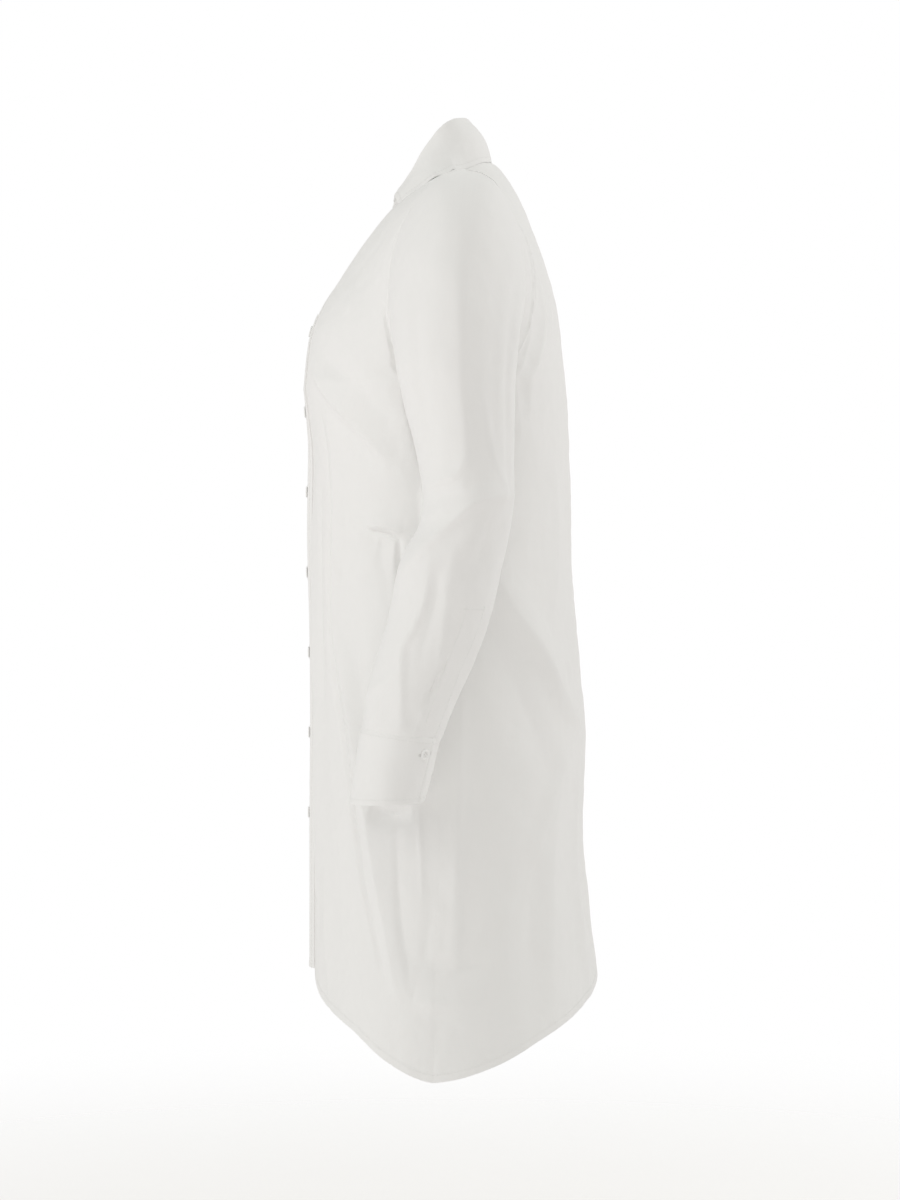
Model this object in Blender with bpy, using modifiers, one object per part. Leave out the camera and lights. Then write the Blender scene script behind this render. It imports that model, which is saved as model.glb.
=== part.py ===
"""Shirt dress in crisp white cotton, filled out as worn, with nothing inside it.

Metres, +Z up. The garment faces -Y and the wearer's left is +X. The origin is on the neck's
axis, level with the high points of the shoulders, which is where a wearer holds it up.
Every cloth piece is an open surface given its wall by Solidify, outer face first.
"""

import math
from collections import namedtuple

import bmesh
import bpy
from mathutils import Vector

# ---------------------------------------------------------------- driving dimensions
CLOTH = 0.0013          # wall of one cloth piece
SEAM = 0.0003           # room between pieces that are sewn together
SHOULDER_SEAM = 0.0014  # the two walls lean towards each other under this seam
LAP = 0.016             # how far each front runs past the centre line
LAP_LIFT = 0.0022       # how far the right front stands over the left one on the chest
LAP_STAND = 0.0055      # and how far it hangs clear of it from the chest down
LAP_TURN = 0.10         # rows over which it goes from one to the other
LAP_END, LIFT_END, LAP_FADE = 0.26, 0.44, 0.20  # where lap and lift fade, and over how far
LIFT_FLAT, LIFT_FADE = 0.04, 0.14               # shares over which the lift holds and fades
BAND_WIDTH = 0.032
STRIP_COLUMNS = 3       # faces across a band or a placket
BAND_TOP_LEVEL = 0.74   # the button band stops below this row, at the foot of the open neck
HEM_FULL = 2.3          # exponent of the body's round section at the hem
CHEST_FULL = {"front": 2.3, "back": 2.6}
STRAIGHTEN_POWER = 1.2  # the higher, the later the sections lose their roundness
TOP_EDGE_POWER = 2.5    # the higher, the fewer rows bend to the back's upper edge
SIDE_Y, TIP_Y = -0.010, 0.008  # where the sections' widest point lies, chest and shoulder
CHEST_LEVEL = 0.62      # row that meets the underarm; 0 is the hem and 1 the shoulder seam
ROUND_LENGTH = 0.27     # length of cloth from a centre line to the side seam

LOW_ROWS, HIGH_ROWS = 18, 11
NECK_SHARE = 1 / 3      # share of the back's half width that is neckline
FRONT_COLUMNS, BACK_COLUMNS = 15, 15

# share of the hem's fall towards the side seam, at even steps round from the centre line
HEM_FALL = {"front": (0.0, 0.10, 0.25, 0.42, 0.75, 1.0), "back": (0.0, 0.12, 0.30, 0.51, 0.80, 1.0)}

SLEEVE_START = 0.0007   # room between the armhole and the sleeve
SLEEVE_RISE_ROWS, SLEEVE_ROWS = 7, 13
SLEEVE_ROUND = 0.33     # length of cloth once round the sleeve
CAP_SLOPE = (1.0, 0.0, -0.45)           # direction in which the sleeve leaves the armhole
CAP_START_PULL, CAP_END_PULL = 0.85, 1.10  # how far it keeps to its first and last direction
FOLD_START, FOLD_STOP = 0.5, 0.06       # lengths over which folds grow and stop, cap and cuff
CUFF_WALL = 0.0018
CUFF_START, CUFF_LAP = 0.56, 0.10       # turn at which the under end lies, and the overlap
CLIMB_START, CLIMB_LENGTH = 0.72, 0.22  # turns on from there to where it climbs on itself
CUFF_ROWS, CUFF_COLUMNS = 4, 26
PLACKET_TURN, PLACKET_WIDTH, PLACKET_LENGTH = 0.615, 0.022, 0.105
PLACKET_ROWS = 8
PLACKET_FOOT = 1.985    # just above the cuff, by the sleeve's own count
LOWER_SLEEVE_LENGTH, LOWER_SLEEVE_ROUND = 0.30, 0.264  # below the first ring, and at the cuff

COLLAR_COLUMNS, STAND_ROWS, LEAF_ROWS = 13, 3, 4
NECK_NARROWER, NECK_HIGHER = 0.985, 0.0009  # keep the stand's foot off the panels
LEAF_START, LEAF_LIFT = 0.45, 0.0015        # where the leaf starts between stand and roll
LEAF_BULGE = 0.0035

BUTTON_RADIUS, BUTTON_DEPTH, CUFF_BUTTON_RADIUS = 0.0055, 0.0015, 0.0050
BUTTON_SIDES, BUTTON_TAPER = 14, 0.9
BUTTON_ROOM = 0.00045   # between a button and the cloth under it
BUTTON_COUNT, TOP_BUTTON_HEIGHT, BUTTON_PITCH = 7, -0.150, 0.080
BUTTON_REACH = 0.012    # rows above and below a button that give its lean
CUFF_BUTTON_TURN, CUFF_BUTTON_SHARE = 1.615, 0.26

COTTON = (0.86, 0.855, 0.845, 1.0)
SHELL = (0.88, 0.87, 0.84, 1.0)

# ---------------------------------------------------------------- tables
Place = namedtuple("Place", "x y z")
Round = namedtuple("Round", "z_front z_back y_front y_back x_in x_out")
Fold = namedtuple("Fold", "spine width height")  # spine points are (around, z)

CENTRE_FRONT = (
    Place(0, -0.1385, -0.783), Place(0, -0.1385, -0.706), Place(0, -0.1385, -0.618),
    Place(0, -0.1380, -0.518), Place(0, -0.1390, -0.438), Place(0, -0.1410, -0.358),
    Place(0, -0.1405, -0.278), Place(0, -0.1440, -0.240), Place(0, -0.1480, -0.208),
)
# up the front edge and out along the open neck; the last three rows carry the collar
FRONT_EDGE = (
    Place(0, -0.1480, -0.208), Place(0, -0.1425, -0.160), Place(0, -0.1310, -0.128),
    Place(0.003, -0.113, -0.098), Place(0.017, -0.089, -0.064), Place(0.034, -0.062, -0.033),
    Place(0.054, -0.036, -0.017), Place(0.068, -0.002, 0.0),
)
CENTRE_BACK = (
    Place(0, 0.140, -0.785), Place(0, 0.130, -0.724), Place(0, 0.122, -0.640),
    Place(0, 0.1255, -0.560), Place(0, 0.123, -0.478), Place(0, 0.113, -0.378),
    Place(0, 0.110, -0.258), Place(0, 0.1075, -0.208),
)
BACK_EDGE = (
    Place(0, 0.1075, -0.208), Place(0, 0.1040, -0.148), Place(0, 0.0970, -0.108),
    Place(0, 0.0830, -0.060), Place(0, 0.0645, -0.015), Place(0, 0.0465, 0.011),
    Place(0, 0.0330, 0.0195),
)
NECK_BACK = (
    Place(0, 0.0330, 0.0195), Place(0.020, 0.0300, 0.0185), Place(0.040, 0.0205, 0.0135),
    Place(0.056, 0.0100, 0.0065), Place(0.068, -0.002, 0.0),
)
SIDE_SEAM = (
    Place(0.225, -0.020, -0.854), Place(0.220, -0.018, -0.755), Place(0.213, -0.014, -0.640),
    Place(0.204, -0.012, -0.530), Place(0.194, -0.010, -0.430), Place(0.187, -0.010, -0.330),
    Place(0.186, -0.010, -0.270), Place(0.187, -0.010, -0.215),
)
ARMHOLE_FRONT = (
    Place(0.187, -0.010, -0.215), Place(0.184, -0.042, -0.202), Place(0.178, -0.059, -0.166),
    Place(0.173, -0.061, -0.120), Place(0.177, -0.053, -0.080), Place(0.186, -0.034, -0.047),
    Place(0.194, -0.012, -0.028), Place(0.198, 0.008, -0.024),
)
ARMHOLE_BACK = (
    Place(0.187, -0.010, -0.215), Place(0.184, 0.022, -0.205), Place(0.175, 0.052, -0.170),
    Place(0.170, 0.064, -0.122), Place(0.176, 0.060, -0.078), Place(0.187, 0.042, -0.041),
    Place(0.195, 0.026, -0.028), Place(0.198, 0.008, -0.024),
)
# the sleeve's rings below the armhole, down to the cuff
SLEEVE = (
    Round(-0.240, -0.238, -0.047, 0.053, 0.197, 0.290),
    Round(-0.303, -0.301, -0.032, 0.052, 0.199, 0.292),
    Round(-0.345, -0.342, -0.031, 0.051, 0.200, 0.293),
    Round(-0.385, -0.378, -0.050, 0.044, 0.203, 0.294),
    Round(-0.436, -0.436, -0.061, 0.030, 0.208, 0.292),
    Round(-0.495, -0.500, -0.078, 0.004, 0.213, 0.290),
    Round(-0.5315, -0.5415, -0.084, -0.013, 0.217, 0.287),
)
CUFF = (
    Round(-0.5320, -0.5420, -0.0835, -0.0135, 0.2175, 0.2865),
    Round(-0.5655, -0.5695, -0.0895, -0.0200, 0.2180, 0.2865),
    Round(-0.5990, -0.5970, -0.0950, -0.0270, 0.2185, 0.2860),
)
# the collar, from its front end round to the centre of the back
STAND_TOP = (
    Place(0.037, -0.0570, -0.0225), Place(0.0455, -0.0450, -0.0065), Place(0.0510, -0.0310, 0.0150),
    Place(0.0545, -0.0170, 0.0345), Place(0.0525, -0.0055, 0.0450), Place(0.039, 0.0060, 0.0500),
    Place(0.021, 0.0125, 0.0515), Place(0, 0.0145, 0.0520),
)
LEAF_TOP = (
    Place(0.039, -0.0590, -0.0200), Place(0.0475, -0.0465, -0.0030), Place(0.0535, -0.0325, 0.0195),
    Place(0.0570, -0.0180, 0.0395), Place(0.0550, -0.0050, 0.0500), Place(0.041, 0.0075, 0.0550),
    Place(0.022, 0.0145, 0.0565), Place(0, 0.0165, 0.0570),
)
LEAF_EDGE = (
    Place(0.078, -0.0572, -0.0338), Place(0.0880, -0.0375, -0.0205), Place(0.0912, -0.0172, -0.0085),
    Place(0.0865, 0.0012, -0.0010), Place(0.0735, 0.0160, 0.0005), Place(0.0545, 0.0272, 0.0060),
    Place(0.0290, 0.0356, 0.0160), Place(0, 0.0385, 0.0208),
)

LEFT_FOLDS = (
    Fold(((0.20, -0.185), (0.54, -0.228), (0.78, -0.272)), 0.013, 0.0045),
    Fold(((0.38, -0.235), (0.40, -0.34), (0.39, -0.46), (0.52, -0.56), (0.66, -0.68), (0.78, -0.77)),
         0.014, 0.0070),
    Fold(((0.66, -0.352), (0.88, -0.364)), 0.008, 0.0045),
    Fold(((0.16, -0.42), (0.22, -0.60), (0.30, -0.79)), 0.016, 0.0035),
    Fold(((1.18, -0.395), (1.46, -0.480), (1.80, -0.545)), 0.016, 0.0065),
    Fold(((1.60, -0.555), (1.38, -0.665)), 0.018, 0.0040),
    Fold(((1.50, -0.63), (1.49, -0.81)), 0.017, 0.0060),
    Fold(((1.10, -0.48), (1.09, -0.70), (1.11, -0.84)), 0.012, 0.0050),
    Fold(((1.28, -0.58), (1.26, -0.82)), 0.013, 0.0040),
    Fold(((1.44, -0.10), (1.40, -0.25)), 0.011, 0.0035),
)
RIGHT_FOLDS = (
    Fold(((0.24, -0.190), (0.52, -0.236), (0.74, -0.290)), 0.014, 0.0045),
    Fold(((0.42, -0.250), (0.45, -0.38), (0.41, -0.50), (0.50, -0.62), (0.60, -0.77)), 0.015, 0.0060),
    Fold(((0.70, -0.372), (0.92, -0.378)), 0.009, 0.0040),
    Fold(((0.80, -0.47), (0.84, -0.66), (0.80, -0.82)), 0.016, 0.0050),
    Fold(((1.22, -0.410), (1.50, -0.500), (1.74, -0.540)), 0.017, 0.0060),
    Fold(((1.56, -0.60), (1.60, -0.80)), 0.018, 0.0055),
    Fold(((1.12, -0.54), (1.13, -0.83)), 0.013, 0.0045),
    Fold(((1.30, -0.60), (1.27, -0.82)), 0.015, 0.0040),
    Fold(((1.46, -0.11), (1.42, -0.24)), 0.012, 0.0035),
)
# around is in turns: 0 next the body, 0.25 in front, 0.5 outside, 0.75 behind
LEFT_SLEEVE_FOLDS = (
    Fold(((0.27, -0.352), (0.40, -0.345), (0.55, -0.318)), 0.011, 0.0050),
    Fold(((0.80, -0.345), (0.60, -0.372), (0.42, -0.392)), 0.012, 0.0055),
    Fold(((0.60, -0.385), (0.50, -0.440), (0.42, -0.485)), 0.011, 0.0045),
    Fold(((0.50, -0.460), (0.52, -0.535)), 0.008, 0.0040),
    Fold(((0.12, -0.330), (0.02, -0.355), (-0.08, -0.350)), 0.012, 0.0040),
    Fold(((0.72, -0.080), (0.70, -0.210)), 0.010, 0.0035),
)
RIGHT_SLEEVE_FOLDS = (
    Fold(((0.26, -0.360), (0.42, -0.350), (0.54, -0.330)), 0.012, 0.0045),
    Fold(((0.82, -0.335), (0.62, -0.362), (0.40, -0.400)), 0.012, 0.0055),
    Fold(((0.62, -0.400), (0.54, -0.450), (0.44, -0.500)), 0.012, 0.0040),
    Fold(((0.46, -0.465), (0.48, -0.535)), 0.008, 0.0040),
    Fold(((0.70, -0.090), (0.69, -0.200)), 0.010, 0.0035),
)

SAMPLES_PER_SPAN = 16
STEP = 0.004            # share of a panel over which its slope is measured
HALVINGS = 24
FOLD_TIP, FOLD_BLUNT = 0.06, 0.6        # how high a fold's ends start, and how fast they rise


# ---------------------------------------------------------------- curves
def curve_between(start, start_slope, end, end_slope, t):
    """A value between two others that leaves and arrives with the given slopes."""
    return (start * (2 * t**3 - 3 * t**2 + 1) + start_slope * (t**3 - 2 * t**2 + t)
            + end * (3 * t**2 - 2 * t**3) + end_slope * (t**3 - t**2))


def spline_point(points, at):
    """A value of the smooth curve through the given ones, `at` counting whole spans."""
    last = len(points) - 1
    index = min(max(int(at), 0), last - 1)
    before, start, end, after = (points[min(max(index + k, 0), last)] for k in (-1, 0, 1, 2))
    return curve_between(start, (end - before) / 2, end, (after - start) / 2, at - index)


class Path:
    """A smooth curve through table rows, read by its share of length."""

    def __init__(self, rows):
        corners = [Vector(row) for row in rows]
        count = (len(corners) - 1) * SAMPLES_PER_SPAN
        self.points = [spline_point(corners, k / SAMPLES_PER_SPAN) for k in range(count + 1)]
        self.marks = [0.0]
        for start, end in zip(self.points, self.points[1:]):
            self.marks.append(self.marks[-1] + (end - start).length)

    def at(self, share):
        reach = min(max(share, 0.0), 1.0) * self.marks[-1]
        index = 0
        while index < len(self.points) - 2 and self.marks[index + 1] < reach:
            index += 1
        span = self.marks[index + 1] - self.marks[index]
        return self.points[index].lerp(self.points[index + 1], (reach - self.marks[index]) / span)


def ease(share):
    """0 to 1 with soft ends."""
    share = min(max(share, 0.0), 1.0)
    return share * share * (3 - 2 * share)


def crossing(low, high, is_before):
    """Where a test that holds at `low` and not at `high` changes, found by halving."""
    for _ in range(HALVINGS):
        middle = (low + high) / 2
        if is_before(middle):
            low = middle
        else:
            high = middle
    return low


def fold_height(folds, around, z, length):
    """How far the folds push a point outwards; `length` is the cloth in one unit of around."""
    total = 0.0
    for fold in folds:
        spans = list(zip(fold.spine, fold.spine[1:]))
        best, place = None, 0.0
        for number, (start, end) in enumerate(spans):
            run, rise = (end[0] - start[0]) * length, end[1] - start[1]
            side, up = (around - start[0]) * length, z - start[1]
            t = min(max((side * run + up * rise) / (run * run + rise * rise), 0.0), 1.0)
            away = math.hypot(side - t * run, up - t * rise)
            if best is None or away < best:
                best, place = away, (number + t) / len(spans)
        fade = math.sin(math.pi * (FOLD_TIP + (1 - 2 * FOLD_TIP) * place)) ** FOLD_BLUNT
        total += fold.height * fade * math.exp(-((best / fold.width) ** 2))
    return total


# ---------------------------------------------------------------- the body's form
RAILS = {
    "front": (Path(CENTRE_FRONT), Path(FRONT_EDGE), Path(SIDE_SEAM), Path(ARMHOLE_FRONT)),
    "back": (Path(CENTRE_BACK), Path(BACK_EDGE), Path(SIDE_SEAM), Path(ARMHOLE_BACK)),
}
NECK_BACK_PATH = Path(NECK_BACK)
FOLDS = {1: LEFT_FOLDS, -1: RIGHT_FOLDS}
SLEEVE_FOLDS = {1: LEFT_SLEEVE_FOLDS, -1: RIGHT_SLEEVE_FOLDS}


def back_top(share):
    """The back's upper edge: its neckline, then the shoulder seam."""
    if share < NECK_SHARE:
        return NECK_BACK_PATH.at(share / NECK_SHARE)
    tip = Vector(ARMHOLE_BACK[-1])
    return Vector(NECK_BACK[-1]).lerp(tip, (share - NECK_SHARE) / (1 - NECK_SHARE))


def body_point(face, share, level):
    """A point of the left half of a panel's smooth form.

    share runs from the centre line, or from a little past it where it is below 0, to the
    seam, and level from the hem to the shoulder.
    """
    if share < 0:
        past, middle = body_point(face, -share, level), body_point(face, 0.0, level)
        return Vector((2 * middle.x - past.x, past.y, past.z))
    low_start, high_start, low_end, high_end = RAILS[face]
    low = min(level / CHEST_LEVEL, 1.0)
    rise = max((level - CHEST_LEVEL) / (1 - CHEST_LEVEL), 0.0)
    if rise == 0:
        start, end = low_start.at(low), low_end.at(low)
        widest_y = end.y
    else:
        start, end = high_start.at(rise), high_end.at(rise)
        widest_y = SIDE_Y + (TIP_Y - SIDE_Y) * rise
    # the sections lose their roundness up the chest and are straight at the shoulder seam
    straightness = ease(rise) ** STRAIGHTEN_POWER
    fullness = HEM_FULL + (CHEST_FULL[face] - HEM_FULL) * low
    fullness += (1 - fullness) * straightness
    end_front = max((end.y - widest_y) / (start.y - widest_y), 0.0) ** (fullness / 2)
    end_out = math.sqrt(1 - end_front**2)
    angle = share * math.asin(end_out)
    angle += (math.asin(math.sqrt(share) * end_out) - angle) * straightness
    out = (math.sin(angle) / end_out) ** (2 / fullness)
    in_front = math.cos(angle) ** (2 / fullness)
    steps = HEM_FALL[face]
    low_fall = spline_point(steps, share * (len(steps) - 1))
    fall = low_fall + ((math.sin(angle) / end_out) ** 2 - low_fall) * low
    here = Vector((start.x + (end.x - start.x) * out,
                   widest_y + (start.y - widest_y) * in_front,
                   start.z + (end.z - start.z) * fall))
    if face == "back" and rise > 0:
        straight = high_start.at(1.0).lerp(high_end.at(1.0), share)
        here += (back_top(share) - straight) * rise ** TOP_EDGE_POWER
    return here


def lapped(level, fade_from=LAP_END):
    """1 where the fronts lie on each other, falling to 0 at the open neck."""
    rise = (level - CHEST_LEVEL) / (1 - CHEST_LEVEL)
    return 1 - ease((rise - fade_from) / LAP_FADE)


def lap_share(level):
    """Share of a front that lies past the centre line."""
    whole = crossing(0.0, 0.5, lambda share: body_point("front", share, level).x < LAP)
    return whole * lapped(level)


def slope_normal(form, across, along, step):
    """Unit normal of a form where its two shares are `across` and `along`."""
    side = form(min(across + step, 1.0), along) - form(across - step, along)
    run = form(across, min(along + step, 1.0)) - form(across, max(along - step, 0.0))
    return side.cross(run).normalized()


def body_cloth(side, face, share, level, lift=0.0):
    """A point on a panel with its folds, `lift` outside them; side is 1 left and -1 right."""
    here = body_point(face, share, level)
    normal = slope_normal(lambda s, v: body_point(face, s, v), share, level, STEP)
    around = share
    if face == "back":
        normal, around = -normal, 2 - share
    elif side < 0:
        near_edge = lapped(level, LIFT_END) * (1 - ease((share - LIFT_FLAT) / LIFT_FADE))
        stand = ease((CHEST_LEVEL - level) / LAP_TURN)
        lift += (LAP_LIFT + (LAP_STAND - LAP_LIFT) * stand) * near_edge
    here += normal * (fold_height(FOLDS[side], around, here.z, ROUND_LENGTH) + lift)
    return Vector((here.x * side, here.y, here.z))


# ---------------------------------------------------------------- scene helpers
def clear_scene():
    for old in list(bpy.data.objects):
        bpy.data.objects.remove(old, do_unlink=True)


def material(name, colour, roughness):
    made = bpy.data.materials.new(name)
    made.use_nodes = True
    shader = made.node_tree.nodes["Principled BSDF"]
    shader.inputs["Base Color"].default_value = colour
    shader.inputs["Roughness"].default_value = roughness
    shader.inputs["Metallic"].default_value = 0.0
    return made


def add_object(name, mesh, collection, parent):
    made = bpy.data.objects.new(name, mesh)
    collection.objects.link(made)
    made.parent = parent
    return made


def cloth_piece(name, rows, context, closed=False, flip=False, wall=CLOTH):
    """A loft through rows of points, given a wall on its inner side."""
    shape = bmesh.new()
    lines = [[shape.verts.new(point) for point in row] for row in rows]
    count = len(rows[0])
    spans = range(count if closed else count - 1)
    for low, high in zip(lines, lines[1:]):
        for i in spans:
            on = (i + 1) % count
            corners = [low[i], low[on], high[on], high[i]]
            shape.faces.new(reversed(corners) if flip else corners)
    mesh = bpy.data.meshes.new(name)
    shape.to_mesh(mesh)
    shape.free()
    mesh.shade_smooth()
    made = add_object(name, mesh, *context)
    solid = made.modifiers.new("wall", "SOLIDIFY")
    solid.thickness = wall
    solid.offset = -1.0
    made.data.materials.append(material(name, COTTON, 0.85))
    return made


# ---------------------------------------------------------------- body panels
def levels():
    low = [CHEST_LEVEL * k / LOW_ROWS for k in range(LOW_ROWS)]
    high = [CHEST_LEVEL + (1 - CHEST_LEVEL) * k / HIGH_ROWS for k in range(HIGH_ROWS + 1)]
    return low + high


def seam_room(point, face, share, level):
    """Moves a panel's last column and last row back by half a seam."""
    away = -1 if face == "front" else 1
    moved = point.copy()
    if share == 1.0 and level <= CHEST_LEVEL:
        moved.y += away * SEAM / 2
    if level == 1.0:
        moved.y += away * SHOULDER_SEAM / 2
    return moved


def front(side, context):
    rows = []
    for level in levels():
        past = lap_share(level)
        shares = [(1 + past) * k / FRONT_COLUMNS - past for k in range(FRONT_COLUMNS)] + [1.0]
        rows.append([seam_room(body_cloth(side, "front", s, level), "front", s, level)
                     for s in shares])
    return cloth_piece("front_left" if side > 0 else "front_right", rows, context, flip=side < 0)


def back(context):
    rows = []
    for level in levels():
        left = [k / BACK_COLUMNS for k in range(BACK_COLUMNS, 0, -1)]
        halves = [[seam_room(body_cloth(side, "back", s, level), "back", s, level) for s in left]
                  for side in (1, -1)]
        middle = (body_cloth(1, "back", 0.0, level) + body_cloth(-1, "back", 0.0, level)) / 2
        rows.append(halves[0] + [middle] + halves[1][::-1])
    return cloth_piece("back", rows, context)


def share_at_width(level, width):
    """Share of the right front at which it lies `width` from its own edge."""
    edge_share = -lap_share(level)
    edge = body_cloth(-1, "front", edge_share, level)
    return crossing(edge_share, 0.5,
                    lambda s: (body_cloth(-1, "front", s, level) - edge).length < width)


def button_band(context):
    """The strip over the right front's edge, made from that front's own points."""
    rows = []
    for level in [level for level in levels() if level < BAND_TOP_LEVEL]:
        shares = [share_at_width(level, BAND_WIDTH * k / STRIP_COLUMNS)
                  for k in range(STRIP_COLUMNS + 1)]
        rows.append([body_cloth(-1, "front", share, level, SEAM + CLOTH) for share in shares])
    return cloth_piece("button_band", rows, context, flip=True)


# ---------------------------------------------------------------- sleeves and cuffs
def ring_point(ring, turn):
    """A point of an oval ring: turn 0 next the body, 0.25 in front, 0.5 outside, 0.75 behind."""
    angle = turn * 2 * math.pi
    inward, forward = math.cos(angle), math.sin(angle)
    y_middle, y_half = (ring.y_front + ring.y_back) / 2, (ring.y_back - ring.y_front) / 2
    x_middle, x_half = (ring.x_in + ring.x_out) / 2, (ring.x_out - ring.x_in) / 2
    z_middle, z_half = (ring.z_front + ring.z_back) / 2, (ring.z_front - ring.z_back) / 2
    return Vector((x_middle - x_half * inward, y_middle - y_half * forward,
                   z_middle + z_half * forward))


def ring_between(rings, share):
    """The ring a share of the way down a table of rings, on smooth curves through its columns."""
    return Round(*[spline_point(column, share * (len(rings) - 1)) for column in zip(*rings)])


def armhole_point(turn):
    """The armhole's edge, by the same turn as the sleeve's rings."""
    face, rise = ("front", turn * 2) if turn <= 0.5 else ("back", (1 - turn) * 2)
    return RAILS[face][3].at(rise)


def sleeve_form(turn, share):
    """The sleeve's smooth form; share 0 is the armhole, 1 the first ring and 2 the cuff."""
    turn %= 1.0
    if share > 1.0:
        return ring_point(ring_between(SLEEVE, share - 1.0), turn)
    start, end = armhole_point(turn), ring_point(SLEEVE[0], turn)
    start = start + Vector((SLEEVE_START, 0, 0))
    reach = (end - start).length
    outwards = Vector(CAP_SLOPE) * reach * CAP_START_PULL
    downwards = (ring_point(SLEEVE[1], turn) - end).normalized() * reach * CAP_END_PULL
    return curve_between(start, outwards, end, downwards, share)


def sleeve_cloth(side, turn, share, lift=0.0):
    here = sleeve_form(turn, share)
    across = sleeve_form(turn + STEP, share) - sleeve_form(turn - STEP, share)
    down = sleeve_form(turn, min(share + STEP, 2.0)) - sleeve_form(turn, max(share - STEP, 0.0))
    normal = down.cross(across).normalized()
    ends = ease(share / FOLD_START) * ease((2.0 - share) / FOLD_STOP)
    height = fold_height(SLEEVE_FOLDS[side], turn, here.z, SLEEVE_ROUND) * ends
    here += normal * (height + lift)
    return Vector((here.x * side, here.y, here.z))


def side_name(stem, side):
    return f"{stem}_left" if side > 0 else f"{stem}_right"


def sleeve(side, context):
    turns = [k / (2 * HIGH_ROWS) for k in range(2 * HIGH_ROWS)]
    shares = [k / SLEEVE_RISE_ROWS for k in range(SLEEVE_RISE_ROWS)]
    shares += [1 + k / SLEEVE_ROWS for k in range(SLEEVE_ROWS + 1)]
    rows = [[sleeve_cloth(side, turn, share) for turn in turns] for share in shares]
    return cloth_piece(side_name("sleeve", side), rows, context, closed=True, flip=side > 0)


def cuff_cloth(side, turn, share, lift=0.0):
    """The cuff's strip: it lies on itself where its over end passes its under end."""
    here = ring_point(ring_between(CUFF, share), turn)
    across = ring_point(ring_between(CUFF, share), turn + STEP) - here
    down = ring_point(CUFF[-1], turn) - ring_point(CUFF[0], turn)
    climb = ease((turn - CUFF_START - CLIMB_START) / CLIMB_LENGTH)
    here += down.cross(across).normalized() * (lift + climb * (CUFF_WALL + 2 * SEAM))
    return Vector((here.x * side, here.y, here.z))


def cuff(side, context):
    turns = [CUFF_START + (1 + CUFF_LAP) * k / CUFF_COLUMNS for k in range(CUFF_COLUMNS + 1)]
    rows = [[cuff_cloth(side, turn, k / CUFF_ROWS) for turn in turns] for k in range(CUFF_ROWS + 1)]
    return cloth_piece(side_name("cuff", side), rows, context, flip=side > 0, wall=CUFF_WALL)


def sleeve_placket(side, context):
    """A strip over the sleeve's slit, from the cuff upwards."""
    width, length = PLACKET_WIDTH / LOWER_SLEEVE_ROUND, PLACKET_LENGTH / LOWER_SLEEVE_LENGTH
    turns = [PLACKET_TURN + width * (k / STRIP_COLUMNS - 0.5) for k in range(STRIP_COLUMNS + 1)]
    shares = [PLACKET_FOOT - length * (1 - k / PLACKET_ROWS) for k in range(PLACKET_ROWS + 1)]
    rows = [[sleeve_cloth(side, turn, share, SEAM + CLOTH) for turn in turns] for share in shares]
    return cloth_piece(side_name("sleeve_placket", side), rows, context, flip=side > 0)


# ---------------------------------------------------------------- collar
def mirrored(path):
    """Points from the left front end, round the back, to the right front end."""
    left = [path.at(k / COLLAR_COLUMNS) for k in range(COLLAR_COLUMNS + 1)]
    right = [Vector((-p.x, p.y, p.z)) for p in reversed(left[:-1])]
    return left + right


def neck_seam():
    """The neckline from its front end to the centre of the back, off the panels by a seam."""
    corners = FRONT_EDGE[-3:] + NECK_BACK[-2::-1]
    return Path([Place(p.x * NECK_NARROWER, p.y, p.z + NECK_HIGHER) for p in corners])


def collar_stand(context):
    bottom, top = mirrored(neck_seam()), mirrored(Path(STAND_TOP))
    rows = [[low.lerp(high, k / STAND_ROWS) for low, high in zip(bottom, top)]
            for k in range(STAND_ROWS + 1)]
    return cloth_piece("collar_stand", rows, context, flip=True)


def collar_leaf(context):
    """The leaf starts over the stand's top, rolls outwards and falls to its edge."""
    inner, top, edge = (mirrored(Path(table)) for table in (STAND_TOP, LEAF_TOP, LEAF_EDGE))
    lift = Vector((0, 0, LEAF_LIFT))
    rows = [[low.lerp(high, LEAF_START) + lift for low, high in zip(inner, top)]]
    for k in range(LEAF_ROWS + 1):
        fall = k / LEAF_ROWS
        bulge = math.sin(math.pi * fall) * LEAF_BULGE
        row = []
        for high, low in zip(top, edge):
            away = Vector((low.x - high.x, low.y - high.y, 0)).normalized()
            row.append(high.lerp(low, fall) + away * bulge + Vector((0, 0, bulge / 2)))
        rows.append(row)
    return cloth_piece("collar_leaf", rows, context)


# ---------------------------------------------------------------- buttons
def button(name, place, outward, radius, context):
    shape = bmesh.new()
    bmesh.ops.create_cone(shape, cap_ends=True, segments=BUTTON_SIDES, radius1=radius,
                          radius2=radius * BUTTON_TAPER, depth=BUTTON_DEPTH)
    mesh = bpy.data.meshes.new(name)
    shape.to_mesh(mesh)
    shape.free()
    mesh.shade_smooth()
    mesh.set_sharp_from_angle(angle=math.radians(30))
    made = add_object(name, mesh, *context)
    made.location = place + outward * (BUTTON_DEPTH / 2 + BUTTON_ROOM)
    made.rotation_mode = "QUATERNION"
    made.rotation_quaternion = Vector((0, 0, 1)).rotation_difference(outward)
    mesh.materials.append(material(name, SHELL, 0.35))
    return made


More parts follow.
